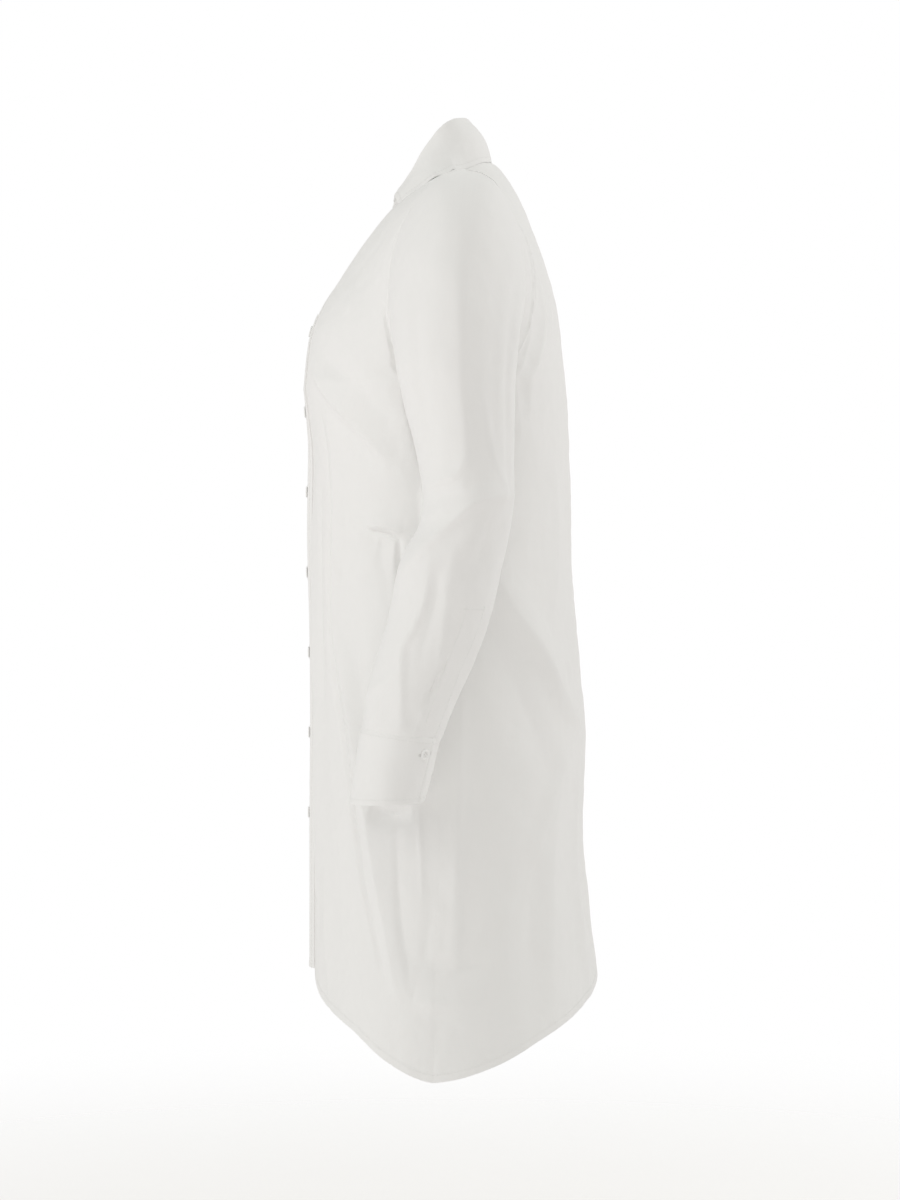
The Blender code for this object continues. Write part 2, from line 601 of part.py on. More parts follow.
def front_buttons(context):
    """Buttons down the middle of the band; they lean with it and face straight ahead."""
    for number in range(BUTTON_COUNT):
        height = TOP_BUTTON_HEIGHT - BUTTON_PITCH * number
        level = crossing(0.0, BAND_TOP_LEVEL,
                         lambda v: body_cloth(-1, "front", 0.0, v).z < height)
        middle = share_at_width(level, BAND_WIDTH / 2)
        place = body_cloth(-1, "front", middle, level, SEAM + CLOTH)
        upward = (body_cloth(-1, "front", middle, level + BUTTON_REACH)
                  - body_cloth(-1, "front", middle, level - BUTTON_REACH))
        outward = upward.cross(Vector((-1, 0, 0))).normalized()
        button(f"button_{number + 1}", place, outward, BUTTON_RADIUS, context)


def cuff_button(side, context):
    place = cuff_cloth(side, CUFF_BUTTON_TURN, CUFF_BUTTON_SHARE)
    outward = (cuff_cloth(side, CUFF_BUTTON_TURN, CUFF_BUTTON_SHARE, 1.0) - place).normalized()
    button(side_name("cuff_button", side), place, outward, CUFF_BUTTON_RADIUS, context)


# ---------------------------------------------------------------- the whole dress
def main():
    clear_scene()
    collection = bpy.data.collections.new("shirt_dress")
    bpy.context.scene.collection.children.link(collection)
    holder = bpy.data.objects.new("shirt_dress_origin", None)
    collection.objects.link(holder)
    context = (collection, holder)
    back(context)
    button_band(context)
    collar_stand(context)
    collar_leaf(context)
    front_buttons(context)
    for side in (1, -1):
        front(side, context)
        sleeve(side, context)
        sleeve_placket(side, context)
        cuff(side, context)
        cuff_button(side, context)


main()
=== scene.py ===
"""Looks of a hollow shirt dress in white cotton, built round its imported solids.

Metres, +Z up. The garment faces -Y and the wearer's left is +X. Each cloth piece is a thin
shell on the form of its solid: rails along the garment's edges are joined row by row by
rounded sections, creases push the cloth in or out, and Solidify gives it its wall. A column
of a piece's grid runs up the garment, and a row runs round it.
"""

import logging
import math
from dataclasses import dataclass, field
from enum import Enum

import bpy
import numpy as np
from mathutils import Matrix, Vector, noise
from mathutils.bvhtree import BVHTree


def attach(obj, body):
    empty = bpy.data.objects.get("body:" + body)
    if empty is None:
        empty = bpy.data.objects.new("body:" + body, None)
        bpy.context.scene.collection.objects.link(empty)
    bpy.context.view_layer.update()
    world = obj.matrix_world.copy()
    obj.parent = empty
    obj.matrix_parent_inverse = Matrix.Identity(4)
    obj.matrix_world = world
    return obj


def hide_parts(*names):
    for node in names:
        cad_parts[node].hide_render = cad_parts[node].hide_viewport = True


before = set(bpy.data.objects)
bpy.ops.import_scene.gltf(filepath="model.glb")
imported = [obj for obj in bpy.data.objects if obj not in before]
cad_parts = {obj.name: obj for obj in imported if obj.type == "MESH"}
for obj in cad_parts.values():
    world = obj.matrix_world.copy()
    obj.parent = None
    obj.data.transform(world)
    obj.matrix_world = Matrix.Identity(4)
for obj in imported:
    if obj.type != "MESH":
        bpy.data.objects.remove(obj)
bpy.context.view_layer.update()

log = logging.getLogger("shirt_dress")

CLOTH = 0.0009                      # wall of one layer as it is seen
SEAM = 0.0003                       # room between pieces that are sewn together
THREAD_LIFT = 0.00012               # how far a stitch's middle stands off the cloth
EDGE_STITCH = 0.005                 # from the edge of the band, the cuffs or the collar to its stitches
STAND_STITCH = 0.0040               # from the collar stand's foot to its stitches
PLACKET_STITCH = 0.0018             # from a placket's edges to its stitches
LEAF_ENDS = (0.25, 0.95)            # shares of a collar leaf's end between which it is stitched
FINE_EDGE = (0.0006, 0.0014)        # distances from an edge at which a grid has extra lines
TRIM_EDGE = FINE_EDGE + (0.0030,)   # the same beside a stitched edge
EDGE_ANGLE = 50                     # degrees past which an edge of the shell is shaded as a corner
WEAVE_MAP = "cloth"                 # UV map in metres along and across the yarns
WAVE_TURN = 20                      # a Wave texture's turn, in radians, in one unit at a scale of 1

Point = tuple[float, float, float]
Colour = tuple[float, float, float, float]

# places on the left side where several edges of the body meet
FRONT_CHEST: Point = (0, -0.1480, -0.208)       # the front's middle, level with the armpit
BACK_CHEST: Point = (0, 0.1075, -0.208)         # the back's middle, level with the armpit
ARMPIT: Point = (0.187, -0.010, -0.215)         # the side seam's upper end
SHOULDER_TIP: Point = (0.198, 0.008, -0.024)    # the shoulder seam's outer end
NECK_POINT: Point = (0.068, -0.002, 0.0)        # the shoulder seam's inner end
NAPE: Point = (0, 0.0330, 0.0195)               # the middle of the back's neckline


class Side(Enum):
    """The wearer's side that a piece is on; the value is the sign of its X."""

    LEFT = 1
    RIGHT = -1

    @property
    def word(self) -> str:
        """The side's name in node names."""
        return self.name.lower()


class Face(Enum):
    """The panel that a half of the body belongs to."""

    FRONT = "front"
    BACK = "back"


# ------------------------------------------------------------------ curves
def curve_between(start: np.ndarray, start_slope: np.ndarray, end: np.ndarray,
                  end_slope: np.ndarray, t: np.ndarray) -> np.ndarray:
    """Values between two others that leave and arrive with the given slopes."""
    return (start * (2 * t**3 - 3 * t**2 + 1) + start_slope * (t**3 - 2 * t**2 + t)
            + end * (3 * t**2 - 2 * t**3) + end_slope * (t**3 - t**2))


def spline(rows: np.ndarray, at: np.ndarray) -> np.ndarray:
    """Values of the smooth curve through table rows.

    Args:
        rows: one row for each knot, shape (knots, columns).
        at: where to read it, counting whole spans, of any shape.

    Returns:
        An array of at's shape with the columns as a last axis.
    """
    last = len(rows) - 1
    index = np.clip(np.floor(at).astype(int), 0, last - 1)
    t = (at - index)[..., None]
    before, start, end, after = (rows[np.clip(index + k, 0, last)] for k in (-1, 0, 1, 2))
    return curve_between(start, (end - before) / 2, end, (after - start) / 2, t)


def ease(share: np.ndarray) -> np.ndarray:
    """0 to 1 with soft ends."""
    share = np.clip(share, 0.0, 1.0)
    return share * share * (3 - 2 * share)


def bell(gap: np.ndarray, middle: float, width: float) -> np.ndarray:
    """1 where a distance is the middle one, falling away softly on both sides of it."""
    return np.exp(-(((gap - middle) / width) ** 2))


def unit(vectors: np.ndarray) -> np.ndarray:
    """The same directions with a length of 1."""
    return vectors / np.linalg.norm(vectors, axis=-1, keepdims=True)


class Rail:
    """A smooth curve through a few places, read by its share of length."""

    def __init__(self, *places: Point, steps: int = 16) -> None:
        """Samples the curve through the places.

        Args:
            places: points that the curve goes through.
            steps: samples in each span.
        """
        self.places = places
        rows = np.array(places, float)
        self.points = spline(rows, np.arange((len(rows) - 1) * steps + 1) / steps)
        spans = np.linalg.norm(np.diff(self.points, axis=0), axis=1)
        marks = np.concatenate([[0.0], np.cumsum(spans)])
        self.shares = marks / marks[-1]

    def at(self, share: np.ndarray) -> np.ndarray:
        """Points at the given shares of the length, with x, y and z as a last axis."""
        return np.stack([np.interp(share, self.shares, self.points[:, k]) for k in range(3)], -1)


# ------------------------------------------------------------------ creases
@dataclass(frozen=True)
class Crease:
    """A soft ridge, or a trough where height is below 0, along a line on the cloth.

    The line's points are (around, z). Above 0, lean makes the cloth fall away more gently
    on the left of the line's direction. crisp goes from 0, rounded, to 1, pointed, and point
    is how steeply a pointed crest falls. tip and blunt shape the fade at the line's two ends.
    steps is how many straight bits one span of the line has, and felt at how many widths
    from the line the crease ends.
    """

    line: tuple[tuple[float, float], ...]
    width: float
    height: float
    lean: float = 0.0
    crisp: float = 0.3
    tip: float = 0.04
    blunt: float = 0.7
    steps: int = 7
    felt: float = 4.0
    point: float = 1.6

    def rise(self, around: np.ndarray, up: np.ndarray, length: float) -> np.ndarray:
        """How far the crease pushes points outwards.

        Args:
            around: the points' places round the cloth.
            up: their heights.
            length: the cloth in one unit of around.
        """
        knots = np.array(self.line, float) * (length, 1.0)
        spans = len(knots) - 1
        line = spline(knots, np.linspace(0, spans, self.steps * spans + 1))
        x, z = around * length, up
        reach = self.felt * self.width * (1 + abs(self.lean))
        near = ((x > line[:, 0].min() - reach) & (x < line[:, 0].max() + reach)
                & (z > line[:, 1].min() - reach) & (z < line[:, 1].max() + reach))
        total = np.zeros_like(x)
        if not near.any():
            return total
        here = np.stack([x[near], z[near]], -1)[:, None, :]
        start, run = line[:-1][None], np.diff(line, axis=0)[None]
        t = np.clip(((here - start) * run).sum(-1) / (run * run).sum(-1), 0, 1)
        gap = here - (start + run * t[..., None])
        far = np.linalg.norm(gap, axis=-1)
        best = far.argmin(axis=1)
        pick = np.arange(len(best))
        far, place = far[pick, best], (best + t[pick, best]) / run.shape[1]
        turn = run[0, best, 0] * gap[pick, best, 1] - run[0, best, 1] * gap[pick, best, 0]
        reached = far / (self.width * np.where(turn > 0, 1 + self.lean, 1 - self.lean))
        shape = (1 - self.crisp) * np.exp(-reached**2) + self.crisp * np.exp(-self.point * reached)
        fade = np.sin(math.pi * (self.tip + (1 - 2 * self.tip) * place)) ** self.blunt
        total[near] = self.height * shape * fade
        return total


@dataclass(frozen=True)
class Rumple:
    """Irregular low rises all over a cloth, from each point's place in space.

    size is the distance from one rise to the next, and height about how high and deep they
    are. seed moves the pattern, so that pieces differ. A stretch below 1 draws the rises out
    along its axis.
    """

    size: float
    height: float
    seed: float
    stretch: Point = (1.0, 1.0, 1.0)
    smoothness: float = 0.7
    finer: float = 2.1
    octaves: int = 3

    def rise(self, points: np.ndarray, sign: int = 1) -> np.ndarray:
        """How far the rumples push points outwards; a sign of -1 moves them on."""
        flat = (points * self.stretch).reshape(-1, 3) / self.size + self.seed * sign
        values = [noise.fractal(Vector(place), self.smoothness, self.finer, self.octaves)
                  for place in flat.tolist()]
        return self.height * np.array(values).reshape(points.shape[:-1])


@dataclass(frozen=True)
class StitchedEdge:
    """A doubled edge: it rounds off, dips under its stitches and puckers beside them."""

    round_depth: float
    stitch_depth: float
    pucker: Rumple
    pucker_place: float = EDGE_STITCH
    pucker_width: float = 0.005
    round_width: float = 0.0010
    stitch_width: float = 0.0012

    def rise(self, gap: np.ndarray, points: np.ndarray) -> np.ndarray:
        """How far points are pushed outwards, given their distances from the edge."""
        return (self.pucker.rise(points) * bell(gap, self.pucker_place, self.pucker_width)
                - self.round_depth * bell(gap, 0.0, self.round_width)
                - self.stitch_depth * bell(gap, EDGE_STITCH, self.stitch_width))


def graded(count: int, length: float, first: tuple[float, ...], last: tuple[float, ...],
           room: float = 0.3) -> np.ndarray:
    """Shares from 0 to 1 with extra ones near the ends.

    Args:
        count: even steps along the whole length.
        length: the length that a share of 1 stands for.
        first: distances from the start at which extra shares lie.
        last: the same from the end.
        room: share of a step that is kept between an extra share and an even one.
    """
    shares = np.linspace(0, 1, count + 1)
    near, far = np.array((0.0,) + first) / length, 1 - np.array((0.0,) + last) / length
    inner = shares[(shares > near.max() + room / count) & (shares < far.min() - room / count)]
    return np.unique(np.concatenate([near, inner, far]))


# ------------------------------------------------------------------ cloth grids
def add_object(name: str, data: bpy.types.ID) -> bpy.types.Object:
    """A new object with the given data, in the scene."""
    made = bpy.data.objects.new(name, data)
    bpy.context.scene.collection.objects.link(made)
    return made


def finished_mesh(made: bpy.types.Object) -> bpy.types.Mesh:
    """A new mesh with the shape that an object's modifiers give it."""
    evaluated = made.evaluated_get(bpy.context.evaluated_depsgraph_get())
    return bpy.data.meshes.new_from_object(evaluated)


@dataclass
class Cloth:
    """A piece's outer face as a grid of points, with how far each lies from the edges."""

    points: np.ndarray
    closed: bool = False
    outward: np.ndarray = field(init=False)
    along: np.ndarray = field(init=False)
    across: np.ndarray = field(init=False)
    flipped: bool = False

    def __post_init__(self) -> None:
        """Measures the grid."""
        self.measure()

    def measure(self) -> None:
        """Works out normals and distances afresh from the points."""
        p = self.points
        if self.closed:
            ring = np.concatenate([p[:, -1:], p, p[:, :1]], axis=1)
            run = ring[:, 2:] - ring[:, :-2]
        else:
            run = np.gradient(p, axis=1)
        up = np.gradient(p, axis=0)
        normal = np.cross(run, up) * (-1 if self.flipped else 1)
        self.outward = normal / np.maximum(np.linalg.norm(normal, axis=-1, keepdims=True), 1e-12)
        rows = np.linalg.norm(np.diff(p, axis=0), axis=-1)
        columns = np.linalg.norm(np.diff(p, axis=1), axis=-1)
        self.along = np.concatenate([np.zeros((1, p.shape[1])), np.cumsum(rows, axis=0)])
        self.across = np.concatenate([np.zeros((p.shape[0], 1)), np.cumsum(columns, axis=1)], axis=1)

    def push(self, height: np.ndarray) -> None:
        """Moves the points outwards, and measures the grid again."""
        self.points = self.points + self.outward * height[..., None]
        self.measure()

    def edge_gap(self, *edges: str) -> np.ndarray:
        """Distance of every point from the nearest of some edges: bottom, top, first or last."""
        gaps = {"bottom": self.along, "top": self.along[-1:] - self.along,
                "first": self.across, "last": self.across[:, -1:] - self.across}
        return np.minimum.reduce([gaps[edge] for edge in edges])

    def line_from(self, edge: str, gap: float, start: float = 0.0, stop: float = 1.0) -> np.ndarray:
        """A line on the cloth that keeps its distance from one edge.

        Args:
            edge: bottom, top, first or last.
            gap: the distance from it.
            start: share of the edge at which the line starts.
            stop: share of the edge at which it ends.
        """
        gaps, points = self.edge_gap(edge), self.points + self.outward * THREAD_LIFT
        if edge in ("first", "last"):
            gaps, points = gaps.T, points.transpose(1, 0, 2)
        if edge in ("top", "last"):
            gaps, points = gaps[::-1], points[::-1]
        line = np.array([[np.interp(gap, gaps[:, i], points[:, i, k]) for k in range(3)]
                         for i in range(points.shape[1])])
        low, high = round(start * (len(line) - 1)), round(stop * (len(line) - 1))
        return line[low:high + 1]

    def at_corners(self, grid: np.ndarray) -> np.ndarray:
        """A grid's values at the four corners of every face, its outside forwards."""
        corners = [grid[:-1, :-1], grid[:-1, 1:], grid[1:, 1:], grid[1:, :-1]]
        if self.flipped:
            corners.reverse()
        return np.stack([corner.reshape(-1, *grid.shape[2:]) for corner in corners], 1)

    def faces(self) -> np.ndarray:
        """Point numbers at the corners of every face."""
        rows, columns = self.points.shape[:2]
        index = np.arange(rows * columns).reshape(rows, columns)
        if self.closed:
            index = np.concatenate([index, index[:, :1]], axis=1)
        return self.at_corners(index)

    def weave_map(self) -> np.ndarray:
        """Metres across and along the cloth at the corners of every face."""
        u, v = self.across.copy(), self.along.copy()
        u -= u[:, u.shape[1] // 2][:, None]
        if self.closed:
            span = np.linalg.norm(self.points[:, 0] - self.points[:, -1], axis=-1)
            u = np.concatenate([u, u[:, -1:] + span[:, None]], axis=1)
            v = np.concatenate([v, v[:, :1]], axis=1)
        return self.at_corners(np.stack([u, v], -1))

    def area(self) -> float:
        """The cloth's own area, in square metres."""
        p = self.points
        if self.closed:
            p = np.concatenate([p, p[:, :1]], axis=1)
        a, b, c, d = p[:-1, :-1], p[:-1, 1:], p[1:, 1:], p[1:, :-1]
        return float(np.linalg.norm(np.cross(c - a, d - b), axis=-1).sum() / 2)

    def build(self, name: str, wall: float) -> bpy.types.Object:
        """Makes the shell, with its weave map.

        Args:
            name: the object's name.
            wall: the cloth's thickness, on its inner side.

        Returns:
            The new object, at the origin.
        """
        mesh = bpy.data.meshes.new(name)
        mesh.from_pydata(self.points.reshape(-1, 3).tolist(), [], self.faces().tolist())
        mesh.uv_layers.new(name=WEAVE_MAP).data.foreach_set("uv", self.weave_map().ravel())
        mesh.shade_smooth()
        made = add_object(name, mesh)
        shell = made.modifiers.new("wall", "SOLIDIFY")
        shell.thickness, shell.offset = wall, -1.0
        corners = made.modifiers.new("corners", "EDGE_SPLIT")
        corners.split_angle = math.radians(EDGE_ANGLE)
        return made


def search_tree(cloths: list[Cloth]) -> BVHTree:
    """A tree that finds the nearest place on the outer faces of several cloths."""
    points, faces = [], []
    for cloth in cloths:
        faces += (cloth.faces() + len(points)).tolist()
        points += cloth.points.reshape(-1, 3).tolist()
    return BVHTree.FromPolygons(points, faces)


def smoothed(values: np.ndarray, reach: int) -> np.ndarray:
    """Values evened out along their second axis, over the given number of steps each way."""
    weights = np.exp(-np.linspace(-2, 2, 2 * reach + 1) ** 2)
    weights /= weights.sum()
    padded = np.pad(values, ((0, 0), (reach, reach), (0, 0)), mode="edge")
    return np.stack([sum(weight * padded[:, k:k + values.shape[1], axis]
                         for k, weight in enumerate(weights)) for axis in range(3)], -1)


# ------------------------------------------------------------------ finishes
class Nodes:
    """A few lines for building a node tree."""

    def __init__(self, tree: bpy.types.NodeTree) -> None:
        """Keeps the tree that the nodes go into."""
        self.tree = tree

    def put(self, socket: bpy.types.NodeSocket, value: object) -> None:
        """Links another node's socket to a socket, or gives it a value."""
        if isinstance(value, bpy.types.NodeSocket):
            self.tree.links.new(value, socket)
        else:
            socket.default_value = value

    def fill(self, node: bpy.types.Node, **inputs: object) -> None:
        """Puts sockets or values into a node's inputs, named with _ for a space."""
        for key, value in inputs.items():
            self.put(node.inputs[key.replace("_", " ")], value)

    def add(self, kind: str, settings: dict | None = None, **inputs: object) -> bpy.types.Node:
        """Adds a node.

        Args:
            kind: the node's type.
            settings: its own properties.
            inputs: what goes into it, as in fill.

        Returns:
            The node.
        """
        made = self.tree.nodes.new(kind)
        for key, value in (settings or {}).items():
            setattr(made, key, value)
        self.fill(made, **inputs)
        return made

    def math(self, operation: str, first: object, second: object) -> bpy.types.NodeSocket:
        """The result of a Math node on two values or sockets."""
        made = self.add("ShaderNodeMath", {"operation": operation})
        for socket, value in zip(made.inputs, (first, second)):
            self.put(socket, value)
        return made.outputs[0]

    def mix(self, share: object, first: object, second: object) -> bpy.types.NodeSocket:
        """A colour between two others."""
        made = self.add("ShaderNodeMix", {"data_type": "RGBA"})
        for index, value in ((0, share), (6, first), (7, second)):
            self.put(made.inputs[index], value)
        return made.outputs[2]


def wave_scale(pitch: float) -> float:
    """The scale at which a Wave texture has a band for every pitch."""
    return 2 * math.pi / (WAVE_TURN * pitch)


def new_material(name: str) -> tuple[bpy.types.Material, Nodes, bpy.types.Node]:
    """An empty material, its nodes and its Principled shader."""
    made = bpy.data.materials.new(name)
    made.use_nodes = True
    return made, Nodes(made.node_tree), made.node_tree.nodes["Principled BSDF"]


@dataclass(frozen=True)
class Poplin:
    """Crisp plain-weave cotton: fine yarns, faint slubs and a soft surface."""

    name: str
    light: Colour = (0.885, 0.885, 0.872, 1.0)
    dark: Colour = (0.850, 0.848, 0.838, 1.0)
    roughness: float = 0.82
    sheen: float = 0.25
    sheen_roughness: float = 0.45
    specular: float = 0.25
    yarn: float = 0.00045
    slub: float = 0.012
    slub_slimness: float = 6.0
    slub_share: float = 0.45
    # painted shade: how much darker the base colour gets between the yarns, where the weave's bump is
    # low
    yarn_share: float = 0.12
    weave_depth: float = 0.00006
    rumple_depth: float = 0.0005

    def build(self) -> bpy.types.Material:
        """Makes the material on the piece's own weave map and object coordinates, with painted shade
        between the yarns.
        """
        material, nodes, shader = new_material(self.name)
        place = nodes.add("ShaderNodeTexCoord").outputs["Object"]
        weave = nodes.add("ShaderNodeUVMap", {"uv_map": WEAVE_MAP}).outputs["UV"]
        warp, weft = (nodes.add("ShaderNodeTexWave", {"bands_direction": axis}, Vector=weave,
                                Scale=wave_scale(2 * self.yarn)).outputs["Fac"] for axis in "XY")
        yarns = nodes.math("MULTIPLY", warp, weft)
        stretched = nodes.add("ShaderNodeMapping", Vector=weave,
                              Scale=(self.slub_slimness / self.slub, 1 / self.slub, 1))
        slubs = nodes.add("ShaderNodeTexNoise", Vector=stretched.outputs[0], Scale=1.0, Detail=3.0)
        cloudy = nodes.add("ShaderNodeTexNoise", Vector=place, Scale=7.0, Detail=2.0)
        # real tone from slubs and clouds; painted shade between the yarns is added to it below
        tone_and_weave_shade = nodes.math("ADD", nodes.math("MULTIPLY", slubs.outputs["Fac"], self.slub_share),
                           nodes.math("MULTIPLY", cloudy.outputs["Fac"], 1 - self.slub_share))
        # painted shade: the weave's bump height also darkens the base colour between the yarns
        tone_and_weave_shade = nodes.math("ADD", tone_and_weave_shade, nodes.math("MULTIPLY", yarns, self.yarn_share))
        fine = nodes.add("ShaderNodeTexNoise", Vector=place, Scale=110.0, Detail=3.0, Roughness=0.55)
        broad = nodes.add("ShaderNodeBump", Strength=0.35, Distance=self.rumple_depth,
                          Height=fine.outputs["Fac"])
        close = nodes.add("ShaderNodeBump", Strength=0.5, Distance=self.weave_depth,
                          Height=yarns, Normal=broad.outputs[0])
        nodes.fill(shader, Base_Color=nodes.mix(tone_and_weave_shade, self.dark, self.light),
                   Normal=close.outputs[0], Roughness=self.roughness, Sheen_Weight=self.sheen,
                   Sheen_Roughness=self.sheen_roughness, Specular_IOR_Level=self.specular)
        return material


@dataclass(frozen=True)
class SewingThread:
    """Twisted cotton thread, a touch glossier than the cloth."""

    name: str = "sewing_thread"
    colour: Colour = (0.86, 0.86, 0.845, 1.0)
    # painted shade: the share of the thread's colour left in its twist's grooves
    groove_share: float = 0.93
    twist: float = 0.0006
    twist_depth: float = 0.00006
    roughness: float = 0.6
    sheen: float = 0.2

    def build(self) -> bpy.types.Material:
        """Makes the material, with the thread's twist as bands across it and painted shade in the
        twist's grooves.
        """
        material, nodes, shader = new_material(self.name)
        place = nodes.add("ShaderNodeTexCoord").outputs["Object"]
        bands = nodes.add("ShaderNodeTexWave", {"bands_direction": "DIAGONAL"}, Vector=place,
                          Scale=wave_scale(self.twist)).outputs["Fac"]
        bump = nodes.add("ShaderNodeBump", Strength=0.4, Distance=self.twist_depth, Height=bands)
        # painted shade: a darker copy of the thread's colour where the twist's bump is low
        groove_shade = tuple(c * self.groove_share for c in self.colour[:3]) + (1.0,)
        nodes.fill(shader, Base_Color=nodes.mix(bands, groove_shade, self.colour),
                   Normal=bump.outputs[0], Roughness=self.roughness, Sheen_Weight=self.sheen)
        return material


@dataclass(frozen=True)
class ShellButton:
    """Polished white shell with a pearly, clouded grain."""

    name: str = "shell_button"
    pale: Colour = (0.93, 0.925, 0.91, 1.0)
    cool: Colour = (0.86, 0.875, 0.88, 1.0)
    glossiest: float = 0.24
    dullest: float = 0.40
    coat: float = 0.5
    coat_roughness: float = 0.12

    def build(self) -> bpy.types.Material:
        """Makes the material, with the shell's growth lines as bent bands."""
        material, nodes, shader = new_material(self.name)
        place = nodes.add("ShaderNodeTexCoord").outputs["Object"]
        lines = nodes.add("ShaderNodeTexWave", {"bands_direction": "X"}, Vector=place, Scale=55.0,
                          Distortion=9.0, Detail=2.0, Detail_Scale=1.5).outputs["Fac"]
        clouds = nodes.add("ShaderNodeTexNoise", Vector=place, Scale=420.0, Detail=2.0).outputs["Fac"]
        worn = nodes.add("ShaderNodeMapRange", Value=clouds, To_Min=self.glossiest,
                         To_Max=self.dullest)
        mixed = nodes.mix(nodes.math("MULTIPLY", lines, clouds), self.pale, self.cool)
        nodes.fill(shader, Base_Color=mixed, Roughness=worn.outputs[0], Coat_Weight=self.coat,
                   Coat_Roughness=self.coat_roughness)
        return material


@dataclass(frozen=True)
class Finishes:
    """Every material of the dress, made once."""

    body: bpy.types.Material
    sleeve: bpy.types.Material
    trim: bpy.types.Material
    thread: bpy.types.Material
    button: bpy.types.Material

    @classmethod
    def make(cls) -> "Finishes":
        """Builds the materials."""
        return cls(body=Poplin("body_poplin").build(), sleeve=Poplin("sleeve_poplin").build(),
                   trim=Poplin("interlined_poplin", rumple_depth=0.0003).build(),
                   thread=SewingThread().build(), button=ShellButton().build())


def dress(made: bpy.types.Object, material: bpy.types.Material, slot: str, *nodes: str) -> None:
    """Gives a finished piece its material, its body and the solids that it stands for.

    Args:
        made: the piece.
        material: its finish.
        slot: not used.
        nodes: the solids that it replaces.
    """
    made.data.materials.clear()
    made.data.materials.append(material)
    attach(made, "root")
    if nodes:
        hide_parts(*nodes)


def hang(cloth: Cloth, node: str, material: bpy.types.Material,
         rests_on: str, wall: float = CLOTH) -> None:
    """Builds a cloth piece in place of its solid.

    Args:
        cloth: the piece's outer face.
        node: the solid's name.
        material: its finish.
        rests_on: not used.
        wall: the cloth's thickness.
    """
    made = cloth.build(f"{node}_cloth", wall)
    dress(made, material, "cotton", node)
    log.info("%s: %d points, %.4f square metres", node, cloth.points[..., 0].size, cloth.area())


